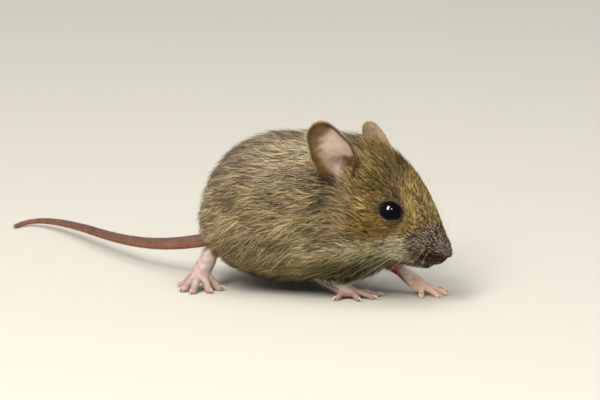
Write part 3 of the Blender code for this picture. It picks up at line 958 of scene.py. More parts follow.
def colour_of_skin(rows, normals, parts):
    colour = markings(rows) * 0.42
    feet = smoothstep(0.0, 1.0, relaxed(on_parts(parts, *FEET), edges, 4))
    colour = blend(colour, "foot", feet)
    # Painted shade: the near forepaw, which lies under the body, takes a darker purple grey, and
    # the toes near the floor take half of it; the purple tint is the skin's own.
    shaded_paws = relaxed(on_parts(parts, "forepaw_right"), edges, 4)
    toes = feet * smoothstep(3.4, 2.0, rows[:, 2])
    colour = blend(colour, "paw", np.maximum(shaded_paws, 0.5 * toes))
    colour = blend(colour, "flush", 0.50 * feet * smoothstep(0.1, 0.9, mottling(rows, 1.5, 8)))
    colour = toned(colour, 0.14 * feet * mottling(rows, 0.6, 12))
    # Painted light and shade on the far left arm: its pale pink skin is painted near white for
    # the sun on it, though the head shades it here, and the red skin of its upper part is painted
    # darker as shade, most on its underside and on the side that faces the body.
    arm = relaxed(on_parts(parts, "foreleg_left", "forepaw_left"), edges, 4)
    colour = blend(colour, "arm_skin_lit", arm * 0.9)
    colour = blend(colour, "toe", arm * smoothstep(20.0, 21.5, rows[:, 0]) * 0.8)
    below = smoothstep(0.3, -0.6, normals[:, 2])
    arm = arm * (0.35 + 0.65 * smoothstep(0.4, -0.2, normals[:, 1]))
    colour = blend(colour, "raw", arm * smoothstep(19.8, 16.8, rows[:, 0] - 1.8 * below))
    colour = blend(colour, "eye_ring", smoothstep(2.72, 2.60, eye_gap(rows)) * 0.8)
    ahead = straightened(rows)
    pad = smoothstep(28.8, 29.8, ahead[:, 0] + 0.25 * mottling(rows, 0.8, 9))
    colour = blend(colour, "nose", on_parts(parts, "nose") * pad)
    # Painted shade darkens the pressed-in nostrils.
    nostril_shade = sum(near(rows, nostril, 0.50) for nostril in NOSTRILS)
    colour = toned(colour, -0.9 * np.minimum(nostril_shade, 1.0))
    lips = smoothstep(0.55, 0.15, mouth_gap(rows)) * smoothstep(25.5, 27.5, ahead[:, 0])
    return blend(colour, "mouth", 0.9 * lips)


def ear_places(mesh, side):
    """Across and up the ear for each point, and 1 where it is on the inner face."""
    _, normals, _ = as_rows(mesh)
    aside, share = (listed(mesh.attributes[key].data, "value") for key in ("aside", "share"))
    facing = TURN @ ear_axes(EARS[side])[1]
    return aside, share, (normals @ np.array(facing) > 0).astype(float)


# How far the brown reaches in from the back edge, at heights up the ear.
BROWN_SHARES = (0.0, 0.10, 0.20, 0.33, 0.50, 0.63, 0.75, 0.85, 0.93)
BROWN_BORDER = (0.10, -0.10, -0.24, -0.40, -0.50, -0.48, -0.20, 0.20, 0.80)


def brown_share(aside, share, rows):
    """How brown the inner face is: along the back edge, the top and the rim."""
    border = np.interp(share, BROWN_SHARES, BROWN_BORDER) + 0.09 * mottling(rows, 0.6, 21)
    back = smoothstep(0.34, -0.32, aside - border)
    return np.maximum(back, smoothstep(0.80, 0.97, aside))


def red_and_shade_share(aside, share, rows):
    """How red and shaded the inner face is: low down, in front of the ear's opening, where red
    skin takes painted shade from the front edge.
    """
    ragged = 0.05 * mottling(rows, 0.7, 23)
    return smoothstep(0.18, 0.42, aside + ragged) * smoothstep(0.50, 0.40, share + ragged)


def colour_of_ear(mesh, side):
    """Cream and pink inside, brown along its edges, and grey brown outside, with shade and a
    highlight painted in.
    """
    aside, share, inside = ear_places(mesh, side)
    rows, _, _ = as_rows(mesh)
    spot = mottling(rows, 0.7, 22)
    colour = np.tile(COLOURS["ear_cream"], (len(rows), 1))
    colour = blend(colour, "ear_pink", 0.26 + 0.12 * spot)
    colour = blend(colour, "ear_cream", hump(aside, 0.12, 0.50) * hump(share, 0.56, 0.24))
    colour = blend(colour, "ear_pink", 0.90 * hump(aside, 0.12, 0.44) * hump(share, 0.36, 0.14))
    # The pale pink fold low in the ear, with a painted highlight on it.
    colour = blend(colour, "ear_fold_highlight", 0.85 * hump(aside, 0.06, 0.20) * hump(share, 0.20, 0.11))
    # Reddish brown low in front of the opening: partly red skin, partly painted shade of the
    # front edge.
    red = toned(COLOURS["ear_red_and_shade"], 0.25 * spot)
    colour = blend(colour, red, 0.92 * red_and_shade_share(aside, share, rows))
    # Painted shade in the notch of a fold, in front of the opening.
    fold_shade = 0.7 * hump(aside, 0.42, 0.14) * hump(share, 0.42, 0.022)
    colour = blend(colour, COLOURS["ear_red_and_shade"] * 0.2, fold_shade)
    brown = toned(COLOURS["ear_brown"], 0.30 * spot)
    colour = blend(colour, brown, brown_share(aside, share, rows) * 0.95)
    outside = toned(COLOURS["ear_outside"], 0.15 * spot)
    colour = outside * (1 - inside)[:, None] + colour * inside[:, None]
    shade = 0.85 * smoothstep(0.27, 0.12, share) * smoothstep(-0.02, -0.30, aside)
    colour = blend(colour, "ear_shade", shade)
    colour = blend(colour, "ear_foot", 0.6 * (1 - inside) * smoothstep(0.70, 0.30, share))
    radius = np.maximum(abs(aside), np.hypot(aside, np.maximum(2 * share - 1, 0.0)))
    # Painted shade: a dark line inside the rolled front edge and the top.
    edge = smoothstep(0.80, 0.92, radius) * smoothstep(0.05, 0.35, aside)
    edge *= smoothstep(0.3, 0.5, share) * inside
    colour = blend(colour, "ear_edge_shade", edge * 0.90)
    rim = smoothstep(0.94, 1.0, radius) * np.maximum(smoothstep(0.5, 0.2, aside), 1 - inside)
    return blend(colour, "ear_rim", rim * 0.7)


def colour_of_tail(mesh):
    rows, normals, _ = as_rows(mesh)
    colour = blend(COLOURS["tail_below"], "tail_above", smoothstep(-0.3, 0.5, normals[:, 2]))
    ring = listed(mesh.attributes["ring"].data, "value")
    tone = np.where(ring % 2 > 0.5, 0.78, 1.0) * (1.0 + 0.12 * mottling(rows, 1.5, 31))
    return colour * tone[:, None]


tail_colours = colour_of_tail(tail_mesh)
ear_colours = {side: colour_of_ear(mesh, side) for side, mesh in ear_meshes.items()}
tell("ears and tail are coloured")

# %% [markdown]
# Skin, ears, tail and the rims of the lids are now joined in one mesh. Its faces keep
# the kind of skin they are, and its points keep their colours.

# %% One skin
def set_colours(mesh, name, rows):
    layer = mesh.attributes.new(name, "FLOAT_COLOR", "POINT")
    full = np.ones((len(rows), 4), np.float32)
    full[:, :3] = rows
    layer.data.foreach_set("color", full.ravel())


def join_meshes(name, pieces):
    """One mesh of several. Each piece comes with its colours and its kind of skin."""
    bm = bmesh.new()
    colours, kinds = [], []
    for mesh, rows, kind in pieces:
        bm.from_mesh(mesh)
        colours.append(rows)
        kinds.append(kind)
    joined = mesh_of(name, bm)
    joined.polygons.foreach_set("material_index", np.concatenate(kinds))
    set_colours(joined, "skin_colour", np.concatenate(colours))
    joined.shade_smooth()
    return joined


def kinds_of_faces(mesh, parts):
    """Bare on hands, feet and the left arm, nose skin on the nose, else under the coat."""
    corner = listed(mesh.loops, "vertex_index", 1, np.int64)
    first = corner[listed(mesh.polygons, "loop_start", 1, np.int64)]
    bare = on_parts(parts, *FEET, "foreleg_left")[first]
    nose = on_parts(parts, "nose")[first]
    return np.where(nose > 0, NOSE_SKIN, np.where(bare > 0, BARE_FOOT, UNDER_COAT))


skin_kinds = kinds_of_faces(skin_mesh, parts)
skin_pieces = [(skin_mesh, colour_of_skin(points, normals, parts), skin_kinds)]
added = [(mesh, ear_colours[side], EAR_SKIN) for side, mesh in ear_meshes.items()]
added.append((tail_mesh, tail_colours, TAIL_SKIN))
for mesh in lid_rims:
    added.append((mesh, np.tile(COLOURS["lid_rim"], (len(mesh.vertices), 1)), NOSE_SKIN))
for mesh, colours, kind in added:
    skin_pieces.append((mesh, colours, np.full(len(mesh.polygons), kind)))
skin = finished_object("skin", join_meshes("skin", skin_pieces))
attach(skin, "root")
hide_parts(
    *FLESH, "tail_root", "tail_middle", "tail_far", "tail_tip", "ear_left", "ear_right"
)

# %% [markdown]
# The skin's material takes its colour from the mesh. Grain makes it a little lighter
# and darker and gives it bump, and some light passes through, most of all in the ears.

# %% Looks of the skin
def skin_material(name, roughness, glow, bump, scale):
    """Skin that takes its colour from the mesh, with grain and a little depth."""
    material, shader = paint(name, (0.5, 0.4, 0.3), roughness)
    nodes_new = material.node_tree.nodes.new
    colour = nodes_new("ShaderNodeAttribute")
    colour.attribute_name = "skin_colour"
    place = nodes_new("ShaderNodeTexCoord").outputs["Object"]
    noise = fed(nodes_new("ShaderNodeTexNoise"), {"Scale": scale, "Detail": 6.0, "Vector": place})
    grain = noise.outputs["Fac"]
    tone = fed(nodes_new("ShaderNodeMapRange"), {"To Min": 0.75, "To Max": 1.20, "Value": grain})
    mix = nodes_new("ShaderNodeMix")
    mix.data_type = "RGBA"
    mix.blend_type = "MULTIPLY"
    fed(mix, {"Factor": 1.0, "A": colour.outputs["Color"], "B": tone.outputs["Result"]})
    relief = fed(nodes_new("ShaderNodeBump"), {
        "Strength": bump, "Distance": 0.0001, "Height": grain,
    })
    fed(shader, {
        "Base Color": mix.outputs["Result"], "Normal": relief.outputs["Normal"],
        "Subsurface Weight": glow, "Subsurface Radius": (1.0, 0.35, 0.2),
        "Subsurface Scale": 0.0006,
    })
    return material


# Name, roughness, light let through, bump and fineness of grain, for each kind in turn.
SKIN_LOOKS = (
    ("under_coat", 0.8, 0.0, 0.6, 2500), ("bare_foot_skin", 0.5, 0.20, 1.0, 3500),
    ("ear_skin", 0.55, 0.45, 0.7, 4500), ("tail_skin", 0.55, 0.15, 0.7, 5000),
    ("nose_skin", 0.4, 0.1, 0.8, 5000),
)
for looks in SKIN_LOOKS:
    skin.data.materials.append(skin_material(*looks))
tell("one skin:", len(skin.data.polygons), "faces")

# %% [markdown]
# ## Claws
# Each toe ends in a small curved claw of pale horn. Its place and length come from the
# claw's solid: the long axis of the solid's points is the claw's line, and its thick
# end is the root. A finer, bent cone is drawn along that line.

# %% Claws
CLAW_SIDES = 10
CLAW_RINGS = 8
CLAW_SLENDER = 0.78
CLAW_BEND = 0.14
CLAWS = sorted(name for name in nodes if name.startswith("claw"))


def claw_line(name):
    """Root, tip and radius of a claw, from its solid."""
    bm = merged_copy(name, 0.0)
    rows = np.array([vert.co for vert in bm.verts])
    bm.free()
    middle = rows.mean(axis=0)
    along = np.linalg.svd(rows - middle, full_matrices=False)[2][0]
    reach = (rows - middle) @ along
    off = np.linalg.norm(rows - middle - reach[:, None] * along, axis=1)
    third = 0.33 * np.abs(reach).max()
    if off[reach > third].mean() > off[reach < -third].mean():
        along, reach = -along, -reach
    return middle + along * reach.min(), middle + along * reach.max(), off.max()


def build_claws():
    heap = bmesh.new()
    for name in CLAWS:
        root, tip, radius = claw_line(name)
        way = tip - root
        root = root - unit(way) * 0.12
        shares = np.linspace(0.0, 1.0, CLAW_RINGS)
        arch = 4 * shares * (1 - shares) * CLAW_BEND * np.linalg.norm(way)
        line = root + (tip - root) * shares[:, None] + np.array((0, 0, 1.0)) * arch[:, None]
        radii = radius * CLAW_SLENDER * (1.0 - shares) ** 0.8 + 0.03
        heap.from_mesh(tube("claw", line, radii, CLAW_SIDES))
    lowest = min(vert.co.z for vert in heap.verts)
    print("claws:", len(CLAWS), "lowest", round(lowest, 2), "mm")
    mesh = mesh_of("claws", heap)
    mesh.shade_smooth()
    return mesh


claws_mesh = build_claws()
claw_ring = listed(claws_mesh.attributes["ring"].data, "value")
towards_tip = smoothstep(0.0, 0.6, claw_ring / (CLAW_RINGS - 1))
set_colours(claws_mesh, "skin_colour", blend(COLOURS["toe_pink"], "horn", towards_tip))
claws = finished_object("claws", claws_mesh)
claws.data.materials.append(skin_material("claw_horn", 0.32, 0.25, 0.3, 6000))
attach(claws, "root")
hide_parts(*CLAWS)

# %% [markdown]
# ## The lie of the coat
# Hair lies away from the nose on the head, along the body and a little down on the
# flanks, and down the legs. That lie is worked out once for every point of the skin
# and evened out, so that neighbouring tufts agree, as combed hair does.

# %% Lie of the coat
WAVE = 0.30  # how far the lie of the coat swings to and fro
NOSE_TIP_STRAIGHT = np.array((31.8, 0.0, 9.6))
TAIL_ROOT = np.array((-17.6, 0.2, 7.6))
DOWN_THE_LEGS = {
    "thigh_right": (-0.80, 0.0, -0.55), "thigh_left": (-0.80, 0.0, -0.55),
    "shank_left": (-0.9, 0.0, -0.3), "foreleg_right": (0.5, 0.1, -0.8),
    "foreleg_left": (0.75, -0.1, -0.6), "hindfoot_right": (-0.25, -0.3, -0.9),
    "hindfoot_left": (0.95, 0.1, -0.1), "forepaw_right": (0.8, 0.1, -0.3),
    "forepaw_left": (0.85, 0.0, -0.3),
}


def lie_of_coat(rows, normals, parts, ties):
    ahead = straightened(rows)
    off_nose = unit(ahead - NOSE_TIP_STRAIGHT) @ np.array(TURN).T
    steep = 1.0 - np.abs(normals[:, 2])
    trunk = np.stack([-np.ones(len(rows)), np.zeros(len(rows)), -0.12 - 0.38 * steep], axis=1)
    to_tail = unit(TAIL_ROOT - rows)
    near_tail = smoothstep(-9.0, -17.0, rows[:, 0])[:, None]
    trunk = unit(trunk) * (1 - near_tail) + to_tail * near_tail
    share = smoothstep(8.0, 14.0, ahead[:, 0])[:, None]
    lie = trunk * (1 - share) + off_nose * share
    for name, direction in DOWN_THE_LEGS.items():
        lie = np.where(on_parts(parts, name)[:, None] > 0, unit(np.array(direction)), lie)
    for centre in eye_centres.values():
        gap = rows - np.array(centre)
        close = smoothstep(4.6, 2.6, np.linalg.norm(gap, axis=1))[:, None]
        lie = lie + unit(gap) * close * 1.2
    lie = relaxed(unit(lie), ties, 10)
    aside = np.cross(normals, lie)
    lie += aside * (WAVE * mottling(rows, 4.0, 14))[:, None]
    lie -= normals * np.sum(lie * normals, axis=1, keepdims=True)
    return unit(lie)


even_normals = unit(relaxed(normals, edges, 4))
lie = lie_of_coat(points, even_normals, parts, edges)

# %% [markdown]
# Length, thickness and number of the hairs change over the body. They are longest on
# the flanks and rump, short on the face, and a mere down on nose and feet.

# %% Length, width and number of hairs
ON_BODY = (3.9, 0.130, 42.0)  # length, width and number, as below for the head
ON_LEGS = (1.5, 0.11, 36.0)
ALONG_HEAD = (12.0, 16.0, 20.0, 23.0, 25.5, 28.0, 30.0, 31.5)
HEAD_LENGTH = (3.2, 2.6, 2.1, 1.7, 1.20, 0.90, 0.55, 0.30)
HEAD_WIDTH = (0.130, 0.118, 0.108, 0.102, 0.096, 0.088, 0.075, 0.06)
HEAD_NUMBER = (44.0, 50.0, 58.0, 66.0, 74.0, 80.0, 70.0, 40.0)


def hair_plan(rows, parts, ties):
    """Length in mm, width in mm and hairs per square mm at each point of the skin."""
    along = straightened(rows)[:, 0]
    head = smoothstep(9.0, 13.0, along)
    length, width, number = (
        body + (np.interp(along, ALONG_HEAD, on_head) - body) * head
        for body, on_head in zip(ON_BODY, (HEAD_LENGTH, HEAD_WIDTH, HEAD_NUMBER))
    )
    low = smoothstep(6.0, 2.0, rows[:, 2]) * (1 - head)
    length -= 1.4 * low
    number -= 14.0 * low
    legs = on_parts(parts, "shank_left", "foreleg_right")
    feet = on_parts(parts, *FEET, "foreleg_left")
    legs, feet = relaxed(np.stack([legs, feet], axis=1), ties, 12).T
    toes = smoothstep(3.0, 1.2, rows[:, 2])
    on_feet = (0.85 - 0.40 * toes, 0.050, 30.0 - 16.0 * toes)
    for share, on_limb in ((legs, ON_LEGS), (feet, on_feet)):
        length, width, number = (
            value * (1 - share) + new * share
            for value, new in zip((length, width, number), on_limb)
        )
    number *= 1 - 0.90 * relaxed(on_parts(parts, "foreleg_left", "forepaw_left"), ties, 8)
    gap = eye_gap(rows)
    beyond_lid = np.maximum(gap - LID_RADIUS, 0.0)
    length = np.minimum(length, 0.70 + 0.95 * beyond_lid)
    width = np.minimum(width, 0.085 + 0.02 * beyond_lid)
    number *= 1 + 1.6 * smoothstep(3.6, 2.8, gap)
    for side, ear in EARS.items():
        number[in_opening(rows, side, 0.05)] = 0.0
        number *= 1 - 0.92 * in_ear_cup(rows, ear)
        length *= 1 - 0.60 * in_ear_cup(rows, ear)
    return length, width, number


def in_ear_cup(rows, ear):
    """1 for points of the head that lie inside the cup of an ear, else 0."""
    up, facing, forward = (np.array(axis) for axis in ear_axes(ear))
    gap = straightened(rows) - np.array(ear.foot)
    aside, out, high = gap @ forward, gap @ facing, gap @ up
    inside = smoothstep(2.9, 2.3, abs(aside)) * smoothstep(-0.3, 0.2, out)
    return inside * smoothstep(2.9, 2.2, out) * smoothstep(0.2, 1.7, high)


hair_length, hair_width, hair_number = hair_plan(points, parts, edges)
print("hair from", round(hair_length.min(), 2), "to", round(hair_length.max(), 2), "mm")

# %% [markdown]
# ## Tufts
# Hair is set in small locks, because fur parts into locks by itself. A lock's root is
# picked at random, more often where the plan wants more hairs. Its line is then walked
# over the skin along the lie of the coat, in two steps, so that it bends round the
# body. Each hair of the lock follows that line a little to one side, and rises from
# the skin to the outer face of the coat.

# %% Walk the locks over the skin
rng = np.random.default_rng(11)
HAIRS_PER_LOCK = 4
COAT_SHARE = 1.0
STATIONS = (0.0, 0.5, 1.0)
CLUMP_SIZE = 1.2
LOCK_LENGTHS = (0.80, 1.18)
WANDER = 0.24  # how far a lock strays from the lie of the coat

triangles = listed(skin_mesh.loops, "vertex_index", 1, np.int64).reshape(-1, 3)


def scattered(rows, faces, plan):
    """Random places on a mesh: the face and the shares of its three corners."""
    corners = rows[faces]
    cross = np.cross(corners[:, 1] - corners[:, 0], corners[:, 2] - corners[:, 0])
    wanted = np.linalg.norm(cross, axis=1) / 2 * plan[faces].mean(axis=1)
    total = np.cumsum(wanted)
    places = np.arange(int(total[-1])) + rng.random(int(total[-1]))
    face = np.searchsorted(total, np.minimum(places, total[-1] - 1e-6))
    one, two = np.sqrt(rng.random(len(face))), rng.random(len(face))
    shares = np.stack([1 - one, one * (1 - two), one * two], axis=1)
    return face, shares


def at_faces(values, face, shares=None):
    """Values of the skin's points, carried to places on its faces."""
    corners = values[triangles[face]]
    if shares is None:
        return corners.mean(axis=1)
    if corners.ndim == 3:
        return (corners * shares[:, :, None]).sum(axis=1)
    return (corners * shares).sum(axis=1)


def walked(face, shares, reach, wander):
    """The skin's points, normals and coat depths under the stations of each lock."""
    tree = BVHTree.FromPolygons(points.tolist(), triangles.tolist())
    here = at_faces(points, face, shares)
    track = [(here, at_faces(even_normals, face, shares), at_faces(depth, face, shares))]
    heading = at_faces(lie, face, shares)
    for before, after in zip(STATIONS, STATIONS[1:]):
        normal = track[-1][1]
        aside = np.cross(normal, heading)
        heading = unit(heading + aside * wander[:, None])
        target = track[-1][0] + heading * (reach * (after - before))[:, None]
        found = [tree.find_nearest(place) for place in target]
        here = np.array([hit[0] for hit in found])
        face = np.array([hit[2] for hit in found])
        track.append((here, unit(at_faces(even_normals, face)), at_faces(depth, face)))
        heading = at_faces(lie, face)
    return [np.stack(rows, axis=1) for rows in zip(*track)]


lock_face, lock_shares = scattered(
    points, triangles, hair_number / HAIRS_PER_LOCK * COAT_SHARE
)
lock_length = at_faces(hair_length, lock_face, lock_shares)
lock_length = lock_length * rng.uniform(*LOCK_LENGTHS, len(lock_face))
wander = rng.normal(0.0, WANDER, len(lock_face))
lock_points, lock_normals, lock_depths = walked(lock_face, lock_shares, lock_length, wander)
lock_clump = mottling(lock_points[:, 0] * np.array((0.5, 1.0, 1.0)), CLUMP_SIZE, 17)
tell("locks:", len(lock_face))

# %% [markdown]
# One tuft is a thin three-sided spike, closed at both ends. It is modelled once. Its
# copies are made by arithmetic on arrays: every point of the spike is moved to its
# place in every tuft at the same time.

# %% One spike and its copies
Spike = namedtuple("Spike", "levels angles triangles map")


def build_spike(levels):
    """A spike of three sides and some levels, with its faces unwrapped in a patch."""
    bm = bmesh.new()
    bmesh.ops.create_circle(bm, segments=3, radius=1.0, cap_ends=True)
    top = bm.faces[:][0]
    for level in range(1, levels):
        made = bmesh.ops.extrude_discrete_faces(bm, faces=[top])["faces"]
        top = made[0]
        bmesh.ops.translate(bm, vec=(0, 0, 1.0), verts=top.verts)
    bmesh.ops.pointmerge(bm, verts=top.verts, merge_co=(0, 0, levels - 1.0))
    bmesh.ops.holes_fill(bm, edges=[edge for edge in bm.edges if edge.is_boundary])
    bmesh.ops.triangulate(bm, faces=bm.faces)
    bmesh.ops.recalc_face_normals(bm, faces=bm.faces)
    bm.verts.index_update()
    rise = np.array([round(vert.co.z) for vert in bm.verts])
    turn = np.array([math.atan2(vert.co.y, vert.co.x) for vert in bm.verts])
    faces = np.array([[vert.index for vert in face.verts] for face in bm.faces])
    centre = turn[faces]
    patch = np.empty((len(faces), 3, 2))
    for number, face in enumerate(faces):
        middle = bm.faces[:][number].calc_center_median()
        side = (math.atan2(middle.y, middle.x) / (2 * math.pi)) % 1.0
        for corner, vert in enumerate(face):
            level = rise[vert] / (levels - 1)
            own = (turn[vert] / (2 * math.pi)) % 1.0 if rise[vert] < levels - 1 else side
            own += round(side - own)
            patch[number, corner] = (own, level)
    bm.free()
    return Spike(rise, turn, faces, patch)


HAIR = build_spike(len(STATIONS))
print("faces of one hair:", len(HAIR.triangles))

# %% [markdown]
# Every hair of a lock starts a little to one side of the lock's line and draws in to
# it at the tip. A few are guard hairs, longer and thinner.

# %% Hairs of every lock
RISE = np.array((-0.04, 0.70, 1.0))
CLOSING = np.array((1.0, 0.72, 0.36))  # how the hairs of a lock draw together
HAIR_TAPER = np.array((0.60, 1.0, 0.0))
GUARD_SHARE = 0.09
SPREAD = 1.9  # how far the hairs of a lock stand apart, in widths of a hair
HAIR_REACH = (0.45, 1.06)  # how high tips stand, as shares of the coat's depth
GUARD_REACH = (1.05, 1.60)
GUARD_WIDTH = 0.7  # the width of a guard hair as a share of another hair's
GUARD_EXTRA = 0.16  # how much further it goes, as a share of the lock's length
TIP_LIFT = 0.05
HAIR_WIDTHS = (0.75, 1.25)
FLATNESS = 0.7  # the depth of a hair as a share of its width
LOWEST_HAIR = 0.02


def hairs_of_locks(keep):
    """Stations, normals and widths of every hair of the kept locks."""
    lock = np.repeat(np.flatnonzero(keep), HAIRS_PER_LOCK)
    count = len(lock)
    normal = lock_normals[lock]
    path = lock_points[lock]
    along = unit(path[:, -1] - path[:, 0])
    aside = unit(np.cross(normal[:, 0], along))
    width = at_faces(hair_width, lock_face[lock], lock_shares[lock])
    width = width * rng.uniform(*HAIR_WIDTHS, count)
    spread = width * SPREAD
    offset_aside = rng.normal(0.0, 1.0, count) * spread
    offset_along = rng.normal(0.0, 1.4, count) * spread
    path = path + aside[:, None, :] * (offset_aside[:, None] * CLOSING)[:, :, None]
    path = path + along[:, None, :] * offset_along[:, None, None]
    reach = rng.uniform(*HAIR_REACH, count) * (1 + 0.32 * lock_clump[lock])
    guard = rng.random(count) < GUARD_SHARE
    reach = np.where(guard, rng.uniform(*GUARD_REACH, count), reach)
    width = np.where(guard, width * GUARD_WIDTH, width)
    extra = np.where(guard, GUARD_EXTRA, 0.0)
    path[:, -1] += (along * lock_length[lock, None]) * extra[:, None]
    high = lock_depths[lock] * reach[:, None] * RISE
    high[:, 1:] += TIP_LIFT
    path = path + normal * high[:, :, None]
    return lock, path, normal, width


def spikes(path, normal, width, spike, taper):
    """Points of all the spikes, along the given stations."""
    along = unit(np.gradient(path, axis=1))
    aside = unit(np.cross(normal, along))
    up = np.cross(aside, along)
    radius = width[:, None] * 0.5 * taper
    across = radius[:, spike.levels, None] * np.cos(spike.angles)[None, :, None]
    deep = radius[:, spike.levels, None] * np.sin(spike.angles)[None, :, None] * FLATNESS
    corners = path[:, spike.levels] + aside[:, spike.levels] * across + up[:, spike.levels] * deep
    corners[:, :, 2] = np.maximum(corners[:, :, 2], LOWEST_HAIR)
    return corners


print("a lock has", HAIRS_PER_LOCK, "hairs, and", GUARD_SHARE, "of all are guard hairs")

# %% [markdown]
# A hair of a wild mouse is banded, dark grey at its root and buff near its tip, and
# some tips are nearly black. That banding gives the coat its salt and pepper. Hairs
# round the eyes and on the limbs are so short that they show one colour.

# %% Colours of the hairs
BUFF_BANDS = np.array((0.26, 1.12, 1.55))
DARK_BANDS = np.array((0.22, 0.46, 0.22))
COLOUR_LIMITS = (0.002, 0.95)
SHORT_BANDS = np.array((0.75, 1.05, 1.35))  # beside the eye the whole hair shows


def banded_colours(lock, dark_share):
    """Colours of every point of every hair: dark root, buff band, some dark tips."""
    count = len(lock)
    face, shares = lock_face[lock], lock_shares[lock]
    root = at_faces(points, face, shares)
    ahead = straightened(root)
    loose = 0.75 - 0.40 * smoothstep(12.0, 20.0, ahead[:, 0])
    mean = markings(root + rng.normal(0.0, 1.0, root.shape) * loose[:, None] * 0.8)
    limb = at_faces(limb_share, face, shares)
    shaded = smoothstep(-13.6, -12.2, root[:, 0]) * (root[:, 0] < 0)
    mean = blend(mean, "leg", limb * (0.9 - 0.6 * shaded))
    speckle = smoothstep(8.0, 16.0, ahead[:, 0]) + smoothstep(23.0, 26.0, ahead[:, 0])
    lock_tone = rng.normal(0.0, 1.0, len(lock_face))[lock] * (0.19 + 0.09 * speckle)
    hair_tone = rng.normal(0.0, 1.0, count) * (0.20 + 0.08 * speckle)
    shoulder = smoothstep(-4.0, 3.0, root[:, 0]) * smoothstep(15.0, 11.0, ahead[:, 0])
    clump = lock_clump[lock] * (0.34 + 0.24 * shoulder - 0.12 * np.minimum(speckle, 1.0))
    tone = np.clip((1.0 + lock_tone) * (1.0 + hair_tone) * (1.0 + clump), 0.25, 2.4)
    tone += (1.0 - tone) * 0.75 * limb
    warm = rng.normal(0.0, 0.06, count)
    mean = mean * tone[:, None] * np.stack([1 + warm, np.ones(count), 1 - warm * 1.4], axis=1)
    beside_eye = smoothstep(3.4, 2.7, eye_gap(root))[:, None]
    low_on_face = ahead[:, 0] - 1.8 * np.maximum(ahead[:, 2] - 12.3, 0.0)
    muzzle = smoothstep(23.0, 26.8, low_on_face)
    lips = smoothstep(1.7, 0.7, mouth_gap(root))
    pale = rng.random(count) < 0.03 + 0.17 * muzzle * (1 - lips)
    pale_tone = blend(COLOURS["pale_hair"], "pale_muzzle_hair", muzzle)
    mean = np.where(pale[:, None], mean * 0.35 + pale_tone * 0.65, mean)
    dark = ~pale & (rng.random(count) < dark_share * (1 - 0.6 * beside_eye[:, 0]))
    by_level = np.where(dark[:, None], DARK_BANDS, BUFF_BANDS)
    short = np.maximum(beside_eye, limb[:, None]) * (~dark)[:, None]
    by_level = by_level + (SHORT_BANDS - by_level) * short
    return np.clip(mean[:, None, :] * by_level[:, HAIR.levels, None], *COLOUR_LIMITS)


limb_share = on_parts(parts, "shank_left", "foreleg_left", "foreleg_right", *FEET)
limb_share = relaxed(limb_share, edges, 5)
print("bands of a hair, from root to tip:", BUFF_BANDS, "or", DARK_BANDS)

# %% [markdown]
# The coat is made in twelve pieces, so that none is too large to handle. Each hair has
# a small patch in its piece's map, at its root's place on an unwrap of the skin. The
# unwrap goes along the body and round a line through it.

# %% Coat pieces
PATCH = 0.003  # the width of a hair's patch in the map


def coat_mesh(name, corners, spike, colours, place):
    """One mesh of many spikes, with its colours and its OFBake map."""
    count = len(corners)
    mesh = bpy.data.meshes.new(name)
    faces = (spike.triangles[None] + (np.arange(count) * len(spike.levels))[:, None, None])
    flat = faces.reshape(-1, 3)
    mesh.vertices.add(count * len(spike.levels))
    mesh.vertices.foreach_set("co", corners.reshape(-1).astype(np.float32))
    mesh.loops.add(flat.size)
    mesh.loops.foreach_set("vertex_index", flat.ravel().astype(np.int32))
    mesh.polygons.add(len(flat))
    mesh.polygons.foreach_set("loop_start", np.arange(0, flat.size, 3, dtype=np.int32))
    mesh.update(calc_edges=True)
    set_colours(mesh, "coat_colour", colours.reshape(-1, 3))
    low, high = place.min(axis=0), place.max(axis=0)
    place = PATCH + (place - low) / (high - low) * (1 - 2 * PATCH)
    map_rows = place[:, None, None, :] + (spike.map[None] - 0.5) * PATCH
    layer = mesh.uv_layers.new(name="OFBake")
    layer.data.foreach_set("uv", map_rows.reshape(-1).astype(np.float32))
    mesh.shade_smooth()
    return mesh


PIECES = (
    "coat_muzzle", "coat_crown", "coat_cheek_right", "coat_cheek_left", "coat_back",
    "coat_shoulder_right", "coat_shoulder_left", "coat_flank_right", "coat_flank_left",
    "coat_rump", "coat_belly", "coat_legs",
)
# The height of the line that the map of a piece of the head goes round.
HEAD_LINES = {
    "coat_muzzle": 11.0, "coat_crown": 13.0, "coat_cheek_right": 13.0, "coat_cheek_left": 13.0,
}
BODY_LINE, RUMP_LINE = 12.0, 11.0


def piece_of_each(rows, normals, limb):
    """Which piece of the coat each root belongs to. The last rule that fits counts."""
    ahead = straightened(rows)
    right = rows[:, 1] < 0
    front = rows[:, 0] > -3.5
    head = ahead[:, 0] > 11.5
    rules = (
        ("coat_flank_left", ~right), ("coat_flank_right", right),
        ("coat_shoulder_right", front & right), ("coat_shoulder_left", front & ~right),
        ("coat_back", normals[:, 2] > 0.62), ("coat_rump", rows[:, 0] < -12.0),
        ("coat_belly", normals[:, 2] < -0.55), ("coat_cheek_right", head & right),
        ("coat_cheek_left", head & ~right), ("coat_crown", head & (ahead[:, 2] > 18.5)),
        ("coat_muzzle", ahead[:, 0] > 24.3), ("coat_legs", limb),
    )
    piece = np.zeros(len(rows), int)
    for name, fits in rules:
        piece[fits] = PIECES.index(name)
    return piece


def unwrapped(rows, name):
    """A place on an unwrap of the skin: along the body and round it."""
    line = HEAD_LINES.get(name, BODY_LINE)
    rows = straightened(rows) if name in HEAD_LINES else rows
    along, aside, high = rows.T
    if name == "coat_rump":
        round_it = np.arctan2(aside, RUMP_LINE - high)
        return np.stack([round_it, np.hypot(aside, high - RUMP_LINE)], axis=1)
    if name == "coat_belly":
        return np.stack([along, aside], axis=1)
    return np.stack([along, np.arctan2(aside, high - line)], axis=1)


